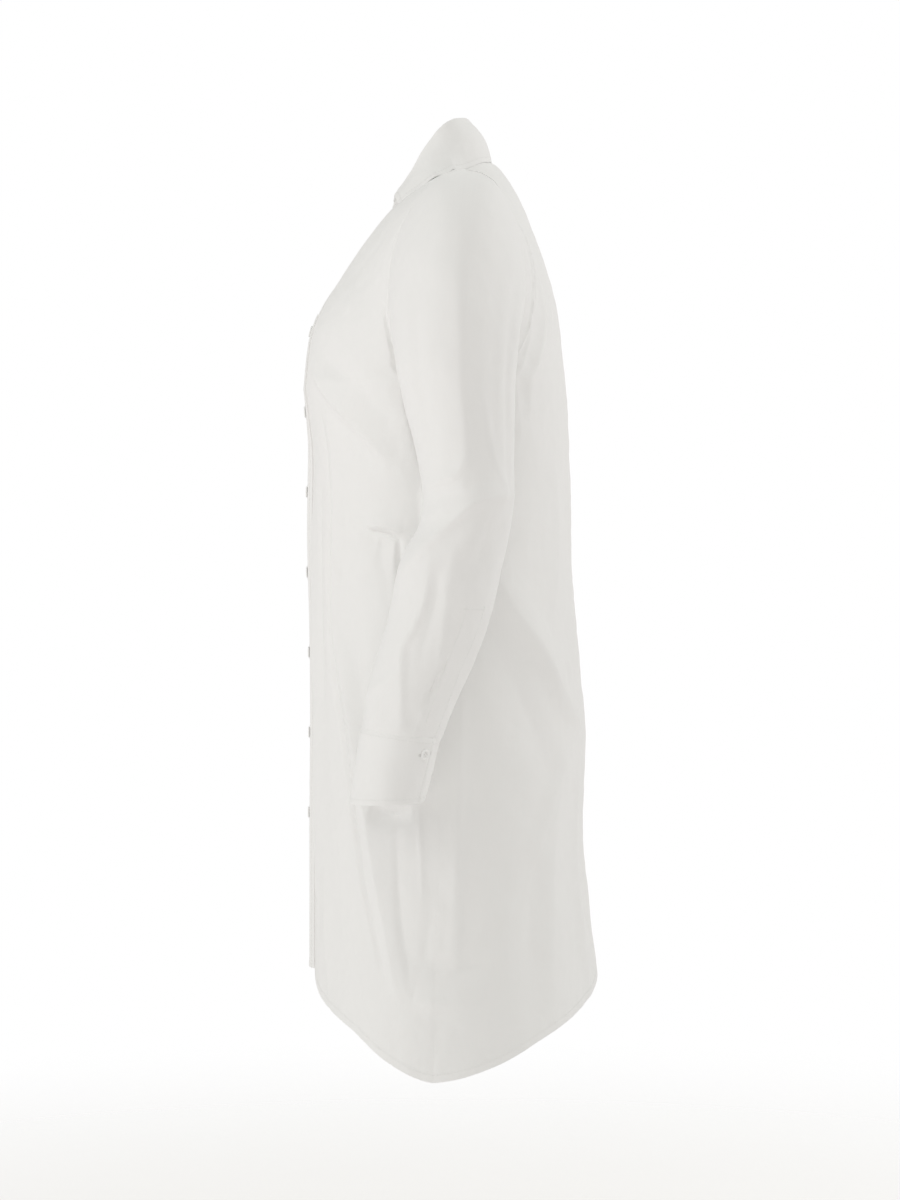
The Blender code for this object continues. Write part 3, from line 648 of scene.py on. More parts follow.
# ------------------------------------------------------------------ the body's form
@dataclass(frozen=True)
class BodyForm:
    """The dress's smooth form, from rails up its edges and rounded sections between them.

    A full value is the power of a section's superellipse. The fronts reach past the centre
    line by lap. lap_lift and lap_stand are how far the right one is over the left, at the
    chest and below it.
    """

    chest_level: float = 0.62
    hem_full: float = 2.3
    chest_full: dict = field(default_factory=lambda: {Face.FRONT: 2.3, Face.BACK: 2.6})
    straighten_power: float = 1.2
    top_edge_power: float = 2.5
    neck_share: float = 1 / 3
    corner_spread: float = 0.30
    corner_taps: int = 9
    lap: float = 0.016
    lap_most: float = 0.2
    lap_samples: int = 81
    lap_end: float = 0.26
    lift_end: float = 0.44
    lap_fade: float = 0.20
    lap_lift: float = 0.0022
    lap_stand: float = 0.0055
    lap_turn: float = 0.10
    lift_flat: float = 0.04
    lift_fade: float = 0.14
    hem_fall: dict = field(default_factory=lambda: {
        Face.FRONT: (0.0, 0.10, 0.25, 0.42, 0.75, 1.0),
        Face.BACK: (0.0, 0.12, 0.30, 0.51, 0.80, 1.0)})
    neck_back: Rail = Rail(NAPE, (0.020, 0.0300, 0.0185), (0.040, 0.0205, 0.0135),
                           (0.056, 0.0100, 0.0065), NECK_POINT)
    side_seam: Rail = Rail(
        (0.225, -0.020, -0.854), (0.220, -0.018, -0.755), (0.213, -0.014, -0.640),
        (0.204, -0.012, -0.530), (0.194, -0.010, -0.430), (0.187, -0.010, -0.330),
        (0.186, -0.010, -0.270), ARMPIT)
    centre: dict = field(default_factory=lambda: {
        Face.FRONT: Rail((0, -0.1385, -0.783), (0, -0.1385, -0.706), (0, -0.1385, -0.618),
                         (0, -0.1380, -0.518), (0, -0.1390, -0.438), (0, -0.1410, -0.358),
                         (0, -0.1405, -0.278), (0, -0.1440, -0.240), FRONT_CHEST),
        Face.BACK: Rail((0, 0.140, -0.785), (0, 0.130, -0.724), (0, 0.122, -0.640),
                        (0, 0.1255, -0.560), (0, 0.123, -0.478), (0, 0.113, -0.378),
                        (0, 0.110, -0.258), BACK_CHEST)})
    upper_edge: dict = field(default_factory=lambda: {
        Face.FRONT: Rail(FRONT_CHEST, (0, -0.1425, -0.160), (0, -0.1310, -0.128),
                         (0.003, -0.113, -0.098), (0.017, -0.089, -0.064), (0.034, -0.062, -0.033),
                         (0.054, -0.036, -0.017), NECK_POINT),
        Face.BACK: Rail(BACK_CHEST, (0, 0.1040, -0.148), (0, 0.0970, -0.108),
                        (0, 0.0830, -0.060), (0, 0.0645, -0.015), (0, 0.0465, 0.011), NAPE)})
    armhole: dict = field(default_factory=lambda: {
        Face.FRONT: Rail(ARMPIT, (0.184, -0.042, -0.202), (0.178, -0.059, -0.166),
                         (0.173, -0.061, -0.120), (0.177, -0.053, -0.080), (0.186, -0.034, -0.047),
                         (0.194, -0.012, -0.028), SHOULDER_TIP),
        Face.BACK: Rail(ARMPIT, (0.184, 0.022, -0.205), (0.175, 0.052, -0.170),
                        (0.170, 0.064, -0.122), (0.176, 0.060, -0.078), (0.187, 0.042, -0.041),
                        (0.195, 0.026, -0.028), SHOULDER_TIP)})

    def above_chest(self, level: np.ndarray) -> np.ndarray:
        """How far a row lies above the chest, from 0 there to 1 at the shoulder."""
        return (level - self.chest_level) / (1 - self.chest_level)

    def back_top(self, share: np.ndarray) -> np.ndarray:
        """The back's upper edge: its neckline, then the shoulder seam."""
        neck = self.neck_back.at(share / self.neck_share)
        start, tip = np.array(NECK_POINT), np.array(SHOULDER_TIP)
        out = ((share - self.neck_share) / (1 - self.neck_share))[..., None]
        return np.where(out < 0, neck, start + (tip - start) * out)

    def softened_top(self, share: np.ndarray, rise: np.ndarray) -> np.ndarray:
        """The back's upper edge as rows below it follow it, its corners rounded further down."""
        spread = self.corner_spread * np.sqrt(np.maximum(1 - rise, 0.0))
        total = np.zeros(share.shape + (3,))
        for tap in np.linspace(-1, 1, self.corner_taps):
            place = share + tap * spread
            top = self.back_top(np.abs(place))
            top[..., 0] *= np.where(place < 0, -1, 1)
            total += top
        return total / self.corner_taps

    def points(self, face: Face, share: np.ndarray, level: np.ndarray) -> np.ndarray:
        """Points of the left half of a panel's smooth form.

        Args:
            face: the panel.
            share: 0 at the centre line and 1 at the seam, below 0 past the centre line.
            level: 0 at the hem and 1 at the shoulder, of the same shape.
        """
        past, share = share < 0, np.abs(share)
        low = np.minimum(level / self.chest_level, 1.0)
        rise = np.maximum(self.above_chest(level), 0.0)
        below = (rise == 0)[..., None]
        start = np.where(below, self.centre[face].at(low), self.upper_edge[face].at(rise))
        end = np.where(below, self.side_seam.at(low), self.armhole[face].at(rise))
        side_y, tip_y = ARMPIT[1], SHOULDER_TIP[1]
        widest = np.where(below[..., 0], end[..., 1], side_y + (tip_y - side_y) * rise)
        straight = ease(rise) ** self.straighten_power
        full = self.hem_full + (self.chest_full[face] - self.hem_full) * low
        full = full + (1 - full) * straight
        end_front = np.maximum((end[..., 1] - widest) / (start[..., 1] - widest), 0.0) ** (full / 2)
        end_out = np.sqrt(1 - end_front**2)
        angle = share * np.arcsin(end_out)
        angle = angle + (np.arcsin(np.sqrt(share) * end_out) - angle) * straight
        reached = np.sin(angle) / end_out
        out = reached ** (2 / full) * np.where(past, -1, 1)
        front = np.cos(angle) ** (2 / full)
        steps = np.array(self.hem_fall[face])[:, None]
        low_fall = spline(steps, share * (len(steps) - 1))[..., 0]
        fall = low_fall + (reached**2 - low_fall) * low
        here = np.stack([start[..., 0] + (end[..., 0] - start[..., 0]) * out,
                         widest + (start[..., 1] - widest) * front,
                         start[..., 2] + (end[..., 2] - start[..., 2]) * fall], -1)
        if face is Face.BACK:
            first, last = self.upper_edge[face].at(np.ones(1)), self.armhole[face].at(np.ones(1))
            chord = first + (last - first) * share[..., None]
            top = self.softened_top(share, rise)
            here = here + (top - chord) * (rise ** self.top_edge_power)[..., None]
        return here

    def lapped(self, level: np.ndarray, fade_from: float) -> np.ndarray:
        """1 where the fronts lie on each other, falling to 0 at the open neck."""
        return 1 - ease((self.above_chest(level) - fade_from) / self.lap_fade)

    def lap_share(self, level: np.ndarray) -> np.ndarray:
        """Share of a front that lies past the centre line, for each row."""
        shares = np.linspace(0, self.lap_most, self.lap_samples)
        x = self.points(Face.FRONT, *np.meshgrid(shares, level))[..., 0]
        whole = np.array([np.interp(self.lap, row, shares) for row in x])
        return whole * self.lapped(level, self.lap_end)

    def over_lift(self, share: np.ndarray, level: np.ndarray) -> np.ndarray:
        """How far the right front stands over the left one."""
        near = self.lapped(level, self.lift_end) * (1 - ease((share - self.lift_flat) / self.lift_fade))
        stand = ease((self.chest_level - level) / self.lap_turn)
        return (self.lap_lift + (self.lap_stand - self.lap_lift) * stand) * near


# round the body, 0 is the centre of the front, 1 the side seam and 2 the centre of the back
MAIN_FOLDS = {
    Side.LEFT: (
        Crease(((0.22, -0.186), (0.42, -0.222), (0.60, -0.254), (0.78, -0.292)), 0.012, 0.0062,
               0.45, 0.5),
        Crease(((0.40, -0.245), (0.46, -0.34), (0.46, -0.44), (0.535, -0.50), (0.635, -0.585),
                (0.735, -0.675), (0.84, -0.77)), 0.014, 0.0078, 0.30, 0.5),
        Crease(((0.66, -0.349), (0.75, -0.351), (0.84, -0.356)), 0.0065, 0.0036, 0.6, 0.5),
        Crease(((0.16, -0.42), (0.22, -0.60), (0.30, -0.79)), 0.018, 0.0048),
        Crease(((1.17, -0.388), (1.27, -0.425), (1.45, -0.472), (1.56, -0.505), (1.80, -0.548)),
               0.021, 0.0085, 0.25, 0.35),
        Crease(((1.62, -0.560), (1.50, -0.600), (1.38, -0.665)), 0.020, 0.0040, 0.3),
        Crease(((1.53, -0.60), (1.50, -0.68), (1.46, -0.81)), 0.022, 0.0046, 0.2),
        Crease(((1.05, -0.50), (1.045, -0.62), (1.06, -0.76)), 0.011, 0.0036, -0.4, 0.5),
        Crease(((1.28, -0.58), (1.26, -0.82)), 0.020, 0.0008),
        Crease(((1.44, -0.10), (1.40, -0.25)), 0.013, 0.0030),
    ),
    Side.RIGHT: (
        Crease(((0.24, -0.190), (0.52, -0.236), (0.74, -0.290)), 0.014, 0.0045, 0.25, 0.35),
        Crease(((0.42, -0.250), (0.45, -0.38), (0.41, -0.50), (0.50, -0.62), (0.60, -0.77)),
               0.015, 0.0060, -0.3, 0.45),
        Crease(((0.70, -0.372), (0.92, -0.378)), 0.009, 0.0040, 0.4, 0.4),
        Crease(((0.80, -0.47), (0.84, -0.66), (0.80, -0.82)), 0.016, 0.0050),
        Crease(((1.22, -0.410), (1.50, -0.500), (1.74, -0.540)), 0.017, 0.0060, 0.3, 0.35),
        Crease(((1.56, -0.60), (1.60, -0.80)), 0.018, 0.0055),
        Crease(((1.12, -0.54), (1.13, -0.83)), 0.013, 0.0045),
        Crease(((1.30, -0.60), (1.27, -0.82)), 0.015, 0.0040),
        Crease(((1.46, -0.11), (1.42, -0.24)), 0.012, 0.0035),
    ),
}
FINE_FOLDS = {
    Side.LEFT: (
        Crease(((0.40, -0.185), (0.60, -0.215), (0.80, -0.255)), 0.014, -0.0034, 0.0, 0.3),
        Crease(((0.34, -0.250), (0.385, -0.33), (0.375, -0.43), (0.435, -0.50), (0.54, -0.577),
                (0.65, -0.672), (0.77, -0.755)), 0.0055, -0.0052, 0.3, 0.6),
        Crease(((0.43, -0.362), (0.50, -0.402)), 0.005, 0.0018, 0.2, 0.5),
        Crease(((0.675, -0.3535), (0.755, -0.3560), (0.83, -0.3625)), 0.0020, -0.0032, -0.3, 0.6),
        Crease(((0.72, -0.366), (0.80, -0.372)), 0.010, -0.0026, -0.3, 0.3),
        Crease(((0.822, -0.362), (0.824, -0.385), (0.818, -0.412)), 0.0044, -0.0040, 0.0, 0.2),
        Crease(((0.955, -0.150), (0.962, -0.172), (0.945, -0.194), (0.880, -0.212),
                (0.864, -0.234), (0.888, -0.258), (0.918, -0.292)), 0.0032, -0.0040, 0.0, 0.2),
        Crease(((0.925, -0.312), (0.935, -0.356)), 0.0040, 0.0036, 0.0, 0.7),
        Crease(((0.69, -0.611), (0.79, -0.614), (0.89, -0.611)), 0.010, -0.0098, 0.0, 0.3),
        Crease(((0.82, -0.630), (0.85, -0.700), (0.91, -0.770)), 0.009, -0.0022, 0.4, 0.4),
        Crease(((0.92, -0.600), (0.945, -0.690)), 0.004, 0.0016, 0.0, 0.7),
        Crease(((0.98, -0.704), (0.96, -0.745)), 0.006, -0.0014),
        Crease(((0.88, -0.742), (1.04, -0.752), (1.18, -0.746)), 0.011, -0.0030),
        Crease(((0.92, -0.778), (1.02, -0.784), (1.13, -0.776)), 0.012, 0.0030, 0.3),
        Crease(((0.60, -0.330), (0.72, -0.372), (0.78, -0.420)), 0.014, -0.0018),
        Crease(((0.28, -0.30), (0.26, -0.42), (0.30, -0.52)), 0.010, -0.0032, 0.2),
        Crease(((0.58, -0.44), (0.64, -0.52), (0.74, -0.60)), 0.014, -0.0018),
        Crease(((0.34, -0.66), (0.40, -0.79)), 0.012, 0.0028),
        Crease(((0.10, -0.33), (0.14, -0.44), (0.11, -0.56)), 0.012, 0.0034, 0.2),
        Crease(((1.33, -0.045), (1.24, -0.130)), 0.0034, 0.0020, 0.2, 0.7),
        Crease(((1.40, -0.060), (1.27, -0.145)), 0.0036, 0.0020, 0.2, 0.7),
        Crease(((1.26, -0.075), (1.215, -0.150), (1.19, -0.190)), 0.0034, 0.0020, 0.0, 0.8),
        Crease(((1.22, -0.150), (1.30, -0.215), (1.34, -0.270)), 0.008, 0.0014, 0.2, 0.5),
        Crease(((1.70, -0.070), (1.55, -0.150), (1.45, -0.190)), 0.014, 0.0018),
        Crease(((1.62, -0.290), (1.64, -0.360), (1.56, -0.430)), 0.016, 0.0026, 0.2),
        Crease(((1.14, -0.440), (1.34, -0.520), (1.52, -0.590)), 0.020, -0.0034),
        Crease(((1.88, -0.400), (1.72, -0.465), (1.60, -0.480)), 0.016, 0.0040),
        Crease(((1.40, -0.66), (1.36, -0.78)), 0.018, -0.0020),
        Crease(((1.76, -0.58), (1.73, -0.70), (1.75, -0.80)), 0.016, 0.0050, 0.2),
        Crease(((1.88, -0.18), (1.86, -0.30), (1.90, -0.40)), 0.016, 0.0036),
        Crease(((1.92, -0.50), (1.90, -0.66), (1.94, -0.78)), 0.018, 0.0046, -0.2),
        Crease(((0.55, -0.110), (0.64, -0.155)), 0.010, 0.0014),
    ),
    Side.RIGHT: (
        Crease(((0.50, -0.375), (0.56, -0.420)), 0.006, 0.0014, 0.2, 0.5),
        Crease(((0.62, -0.56), (0.66, -0.68), (0.74, -0.80)), 0.010, 0.0024, -0.3, 0.4),
        Crease(((0.95, -0.62), (0.96, -0.71)), 0.004, 0.0012, 0.0, 0.7),
        Crease(((1.03, -0.50), (1.02, -0.62), (1.035, -0.76)), 0.009, 0.0018, -0.2, 0.3),
        Crease(((0.88, -0.755), (1.03, -0.762), (1.18, -0.752)), 0.012, -0.0020),
        Crease(((0.56, -0.340), (0.72, -0.385), (0.88, -0.410)), 0.013, -0.0020),
        Crease(((0.30, -0.245), (0.48, -0.275), (0.62, -0.310)), 0.012, -0.0018),
        Crease(((0.30, -0.32), (0.29, -0.44), (0.32, -0.54)), 0.010, -0.0034, 0.2),
        Crease(((0.20, -0.44), (0.24, -0.62), (0.28, -0.78)), 0.016, 0.0046),
        Crease(((0.46, -0.66), (0.48, -0.79)), 0.012, -0.0034),
        Crease(((1.35, -0.050), (1.25, -0.138)), 0.0035, 0.0012, 0.2, 0.7),
        Crease(((1.42, -0.070), (1.29, -0.150)), 0.003, 0.0013, 0.2, 0.7),
        Crease(((1.21, -0.140), (1.28, -0.225), (1.36, -0.280)), 0.008, 0.0016, 0.2, 0.5),
        Crease(((1.17, -0.220), (1.18, -0.345)), 0.006, 0.0016, 0.0, 0.5),
        Crease(((1.72, -0.080), (1.56, -0.165), (1.44, -0.200)), 0.012, 0.0015),
        Crease(((1.64, -0.30), (1.60, -0.38), (1.58, -0.45)), 0.013, 0.0018, 0.2),
        Crease(((1.18, -0.455), (1.42, -0.545), (1.60, -0.585)), 0.014, -0.0020),
        Crease(((1.43, -0.64), (1.45, -0.81)), 0.013, -0.0024),
        Crease(((1.20, -0.57), (1.21, -0.81)), 0.011, -0.0018),
        Crease(((1.76, -0.60), (1.78, -0.70), (1.75, -0.80)), 0.016, 0.0050, 0.2),
        Crease(((1.90, -0.44), (1.87, -0.58), (1.90, -0.72)), 0.017, 0.0046, -0.2),
        Crease(((1.84, -0.16), (1.88, -0.28), (1.85, -0.38)), 0.016, 0.0036),
        Crease(((1.90, -0.390), (1.74, -0.455), (1.60, -0.475)), 0.016, 0.0042),
        Crease(((0.12, -0.31), (0.10, -0.43), (0.15, -0.55)), 0.013, 0.0034, 0.2),
        Crease(((0.956, -0.154), (0.960, -0.178), (0.890, -0.210), (0.868, -0.238),
                (0.904, -0.280)), 0.0026, -0.0042, 0.0, 0.2),
        Crease(((0.66, -0.366), (0.76, -0.374), (0.84, -0.372)), 0.0036, -0.0046, 0.0, 0.5),
        Crease(((0.52, -0.115), (0.62, -0.165)), 0.011, 0.0012),
    ),
}


# ------------------------------------------------------------------ the body
@dataclass
class Body:
    """Two fronts and a back, lofted on one form, with seams at the sides and shoulders."""

    form: BodyForm
    finishes: Finishes
    front_flat: tuple[float, float] = (0.32, 0.90)
    back_flat: tuple[float, float] = (0.65, 0.90)
    round_length: float = 0.27
    lower_height: float = 0.68
    front_columns: int = 146
    back_columns: int = 82
    rows: int = 250
    edge_steps: tuple[float, ...] = (0.0008, 0.0018, 0.0030, 0.0050)
    hem_steps: tuple[float, ...] = (0.0008, 0.0030, 0.0060, 0.0068, 0.0076, 0.0084, 0.0092, 0.0110)
    waist_levels: tuple[float, float, int] = (0.4715, 0.4855, 16)
    rumples: Rumple = Rumple(0.045, 0.0010, 3.1)
    pucker: Rumple = Rumple(0.010, 0.0004, 7.7, (1, 1, 0.35))
    pucker_place: float = 0.006
    pucker_width: float = 0.006
    hem_width: float = 0.008
    hem_stitch: float = 0.007
    hem_layer: float = 0.00035
    hem_turn: float = 0.0009
    hem_dip: float = 0.00025
    hem_dip_width: float = 0.0007
    hem_pucker_share: float = 0.875
    hem_pucker_width: float = 0.008
    seam_depth: float = 0.0004
    seam_width: float = 0.0015
    side_seam_share: float = 0.15
    side_seam_grow: float = 0.04
    curl_from: float = 0.0095
    curl_stand: float = 0.0009
    pressed: float = 0.9
    pressed_flat: float = 0.05
    pressed_fade: float = 0.20
    panels: dict = field(default_factory=dict)

    def levels(self) -> np.ndarray:
        """The rows' levels, closer together at the hem, the waist and the shoulder seam."""
        even = graded(self.rows, self.lower_height / self.form.chest_level, self.hem_steps,
                      self.edge_steps)
        return np.unique(np.concatenate([even, np.linspace(*self.waist_levels)]))

    def height_of(self, side: Side, around: np.ndarray, up: np.ndarray) -> np.ndarray:
        """How far all creases push the cloth out."""
        total = np.zeros_like(around)
        for crease in MAIN_FOLDS[side] + FINE_FOLDS[side]:
            total += crease.rise(around, up, self.round_length)
        return total

    def finish_panel(self, cloth: Cloth, seams: tuple[str, ...], tidy: np.ndarray | float) -> None:
        """Adds rumples, the hem's double layer and the dip at each seam.

        Args:
            cloth: the panel.
            seams: its sewn edges beside the top one.
            tidy: 1 where the cloth is pressed smooth and 0 where it isn't.
        """
        rise = self.rumples.rise(cloth.points) * (1 - tidy)
        hem = cloth.edge_gap("bottom")
        pucker = self.pucker.rise(cloth.points)
        rise += pucker * self.hem_pucker_share * bell(hem, self.hem_width, self.hem_pucker_width)
        rise += self.hem_layer * ease((self.hem_width - hem) / self.hem_turn + 0.5)
        rise -= self.hem_dip * bell(hem, self.hem_stitch, self.hem_dip_width)
        above = ease((self.levels() - self.form.chest_level) / self.side_seam_grow)[:, None]
        depth = self.seam_depth * (self.side_seam_share + (1 - self.side_seam_share) * above)
        for seam in seams:
            gap = cloth.edge_gap(seam)
            rise -= depth * bell(gap, 0.0, self.seam_width)
            rise += pucker * bell(gap, self.pucker_place, self.pucker_width)
        rise -= self.seam_depth / 2 * bell(cloth.edge_gap("top"), 0.0, self.seam_width)
        cloth.push(rise)

    def front(self, side: Side) -> Cloth:
        """One front, from its own edge to the side seam and armhole."""
        levels = self.levels()
        past = self.form.lap_share(levels)[:, None]
        steps = graded(self.front_columns, self.round_length, self.edge_steps, self.edge_steps)
        share = -past + (1 + past) * steps
        level = np.repeat(levels[:, None], len(steps), axis=1)
        cloth = Cloth(self.form.points(Face.FRONT, share, level))
        lift = np.zeros_like(share)
        if side is Side.RIGHT:
            lift = self.form.over_lift(share, level)
            curl = 1 - ease(cloth.across / self.curl_from)
            lift -= curl * np.maximum(lift - self.curl_stand, 0.0)
        cloth.push(self.height_of(side, share, cloth.points[..., 2]) + lift)
        cloth.points[..., 0] *= side.value
        cloth.flipped = side is Side.RIGHT
        cloth.measure()
        near_edge = 1 - ease((share - self.pressed_flat) / self.pressed_fade)
        self.finish_panel(cloth, ("last",), near_edge * self.pressed)
        return cloth

    def back(self) -> Cloth:
        """The back in one piece, from the left side seam round to the right one."""
        steps = graded(self.back_columns, self.round_length, (), self.edge_steps)
        share, level = np.meshgrid(steps, self.levels())
        halves = []
        for side in Side:
            half = Cloth(self.form.points(Face.BACK, share, level), flipped=True)
            half.push(self.height_of(side, 2 - share, half.points[..., 2]))
            half.points[..., 0] *= side.value
            halves.append(half.points)
        left, right = halves
        middle = (left[:, :1] + right[:, :1]) / 2
        cloth = Cloth(np.concatenate([left[:, :0:-1], middle, right[:, 1:]], axis=1))
        self.finish_panel(cloth, ("first", "last"), 0.0)
        return cloth

    def build(self) -> None:
        for side in Side:
            self.panels[f"front_{side.word}"] = self.front(side)
        self.panels["back"] = self.back()
        for name, cloth in self.panels.items():
            hang(cloth, name, self.finishes.body, "collar_stand")


@dataclass
class ButtonBand:
    """The strip sewn over the right front's edge, edge-stitched down both sides."""

    finishes: Finishes
    body: Body
    width: float = 0.032
    length: float = 0.66
    stand: float = 0.0009
    thicker: float = 0.0003
    top_level: float = 0.7236
    columns: int = 18
    stitching: StitchedEdge = StitchedEdge(0.0005, 0.0002, Rumple(0.009, 0.0002, 5.2, (0.4, 1, 1)),
                                           pucker_width=0.006)
    cloth: Cloth | None = None

    def build(self) -> None:
        """Lays the strip on the right front's own points."""
        under = self.body.panels["front_right"]
        keep = self.body.levels() <= self.top_level
        offsets = np.unique(np.concatenate([np.linspace(0, 1, self.columns + 1) * self.width,
                                            FINE_EDGE, self.width - np.array(FINE_EDGE)]))
        lifted = under.points + under.outward * self.stand
        rows = [np.stack([np.interp(offsets, gap, points[:, k]) for k in range(3)], -1)
                for gap, points in zip(under.across[keep], lifted[keep])]
        self.cloth = Cloth(np.array(rows), flipped=True)
        edge = self.cloth.edge_gap("first", "last")
        self.cloth.push(self.thicker + self.stitching.rise(edge, self.cloth.points))
        hang(self.cloth, "button_band", self.finishes.trim,
             "front_right_cloth")


# ------------------------------------------------------------------ sleeves and cuffs
def ring_points(rings: np.ndarray, turn: np.ndarray) -> np.ndarray:
    """Points of oval rings: turn 0 next the body, 0.25 in front, 0.5 outside, 0.75 behind.

    Args:
        rings: z_front, z_back, y_front, y_back, x_in and x_out as a last axis.
        turn: the points' turns, of the other axes' shape, or of any shape on a single ring.
    """
    inward, forward = np.cos(turn * 2 * math.pi), np.sin(turn * 2 * math.pi)
    z_front, z_back, y_front, y_back, x_in, x_out = np.moveaxis(rings, -1, 0)
    return np.stack([(x_in + x_out) / 2 - (x_out - x_in) / 2 * inward,
                     (y_front + y_back) / 2 - (y_back - y_front) / 2 * forward,
                     (z_front + z_back) / 2 + (z_front - z_back) / 2 * forward], -1)


# round a sleeve, 0 is next the body, 0.25 in front, 0.5 outside and 0.75 behind
SLEEVE_FOLDS = {
    Side.LEFT: (
        Crease(((0.27, -0.348), (0.38, -0.342), (0.50, -0.316)), 0.011, 0.0020, 0.3, 0.4),
        Crease(((0.72, -0.326), (0.60, -0.328), (0.50, -0.338), (0.41, -0.368), (0.33, -0.396)),
               0.012, 0.0050, -0.35, 0.5),
        Crease(((0.68, -0.352), (0.61, -0.372), (0.55, -0.400)), 0.016, -0.0046, 0.0, 0.3),
        Crease(((0.43, -0.380), (0.445, -0.415), (0.43, -0.445), (0.42, -0.463), (0.465, -0.500),
                (0.505, -0.536)), 0.009, 0.0034, -0.45, 0.7),
        Crease(((0.50, -0.380), (0.51, -0.420), (0.545, -0.465), (0.60, -0.500)), 0.006, 0.0017,
               0.0, 0.6),
        Crease(((0.47, -0.395), (0.475, -0.435), (0.49, -0.475)), 0.006, -0.0016, 0.0, 0.5),
        Crease(((0.12, -0.330), (0.02, -0.355), (-0.08, -0.350)), 0.012, 0.0034),
        Crease(((0.72, -0.080), (0.70, -0.210)), 0.012, 0.0026, 0.0, 0.4),
        Crease(((0.32, -0.318), (0.40, -0.313), (0.46, -0.309), (0.50, -0.294)), 0.006, 0.0024,
               0.3, 0.6),
        Crease(((0.35, -0.328), (0.45, -0.326), (0.53, -0.312)), 0.007, -0.0016, 0.0, 0.4),
        Crease(((0.27, -0.504), (0.34, -0.496), (0.43, -0.482)), 0.006, 0.0016, 0.0, 0.6),
        Crease(((0.57, -0.235), (0.60, -0.290), (0.66, -0.322)), 0.006, 0.0015, 0.0, 0.5),
        Crease(((0.515, -0.100), (0.512, -0.210), (0.500, -0.300)), 0.013, 0.0034, -0.45, 0.45),
        Crease(((0.60, -0.090), (0.61, -0.210), (0.60, -0.310)), 0.017, -0.0026),
        Crease(((0.395, -0.120), (0.39, -0.210), (0.375, -0.300)), 0.011, -0.0022),
        Crease(((0.665, -0.130), (0.668, -0.230), (0.668, -0.330)), 0.006, -0.0020, 0.0, 0.4),
        Crease(((0.86, -0.055), (0.79, -0.110), (0.75, -0.165)), 0.0036, 0.0030, 0.0, 0.6),
        Crease(((0.80, -0.050), (0.76, -0.100), (0.735, -0.150)), 0.0036, 0.0026, 0.0, 0.6),
        Crease(((0.572, -0.468), (0.566, -0.492), (0.559, -0.514)), 0.0028, -0.0034, 0.0, 0.5),
        Crease(((0.56, -0.505), (0.555, -0.538)), 0.0045, 0.0018, 0.4, 0.7),
        Crease(((0.38, -0.506), (0.37, -0.538)), 0.006, 0.0014, 0.2, 0.5),
        Crease(((0.70, -0.430), (0.72, -0.500)), 0.009, 0.0018),
        Crease(((0.86, -0.300), (0.98, -0.330), (1.10, -0.322)), 0.010, 0.0024, 0.2, 0.4),
        Crease(((0.90, -0.350), (1.02, -0.372), (1.16, -0.360)), 0.011, 0.0020, 0.2, 0.4),
    ),
    Side.RIGHT: (
        Crease(((0.26, -0.356), (0.40, -0.346), (0.52, -0.322)), 0.012, 0.0022, 0.3, 0.4),
        Crease(((0.76, -0.330), (0.60, -0.338), (0.50, -0.350), (0.38, -0.396)), 0.012, 0.0040,
               -0.3, 0.45),
        Crease(((0.64, -0.362), (0.58, -0.400)), 0.014, -0.0024, 0.0, 0.3),
        Crease(((0.45, -0.400), (0.46, -0.450), (0.44, -0.490), (0.48, -0.536)), 0.009, 0.0032,
               -0.4, 0.6),
        Crease(((0.70, -0.090), (0.69, -0.200)), 0.012, 0.0026, 0.0, 0.4),
        Crease(((0.31, -0.326), (0.38, -0.318), (0.50, -0.302)), 0.006, 0.0022, 0.3, 0.6),
        Crease(((0.36, -0.336), (0.46, -0.332), (0.54, -0.316)), 0.007, -0.0016, 0.0, 0.4),
        Crease(((0.53, -0.385), (0.54, -0.430), (0.60, -0.490)), 0.006, 0.0018, 0.0, 0.6),
        Crease(((0.55, -0.505), (0.545, -0.538)), 0.0045, 0.0018, 0.4, 0.7),
        Crease(((0.28, -0.496), (0.40, -0.478)), 0.006, 0.0016, 0.0, 0.6),
        Crease(((0.50, -0.120), (0.49, -0.220), (0.48, -0.295)), 0.013, 0.0026, -0.4, 0.4),
        Crease(((0.59, -0.130), (0.60, -0.220), (0.58, -0.300)), 0.016, -0.0018),
        Crease(((0.37, -0.190), (0.34, -0.300)), 0.012, -0.0014),
        Crease(((0.85, -0.060), (0.78, -0.115), (0.75, -0.170)), 0.0045, 0.0018, 0.0, 0.6),
        Crease(((0.71, -0.420), (0.73, -0.490)), 0.009, 0.0018),
        Crease(((0.88, -0.310), (1.00, -0.336), (1.12, -0.326)), 0.010, 0.0022, 0.2, 0.4),
        Crease(((0.92, -0.358), (1.04, -0.380), (1.14, -0.366)), 0.011, 0.0018, 0.2, 0.4),
    ),
}


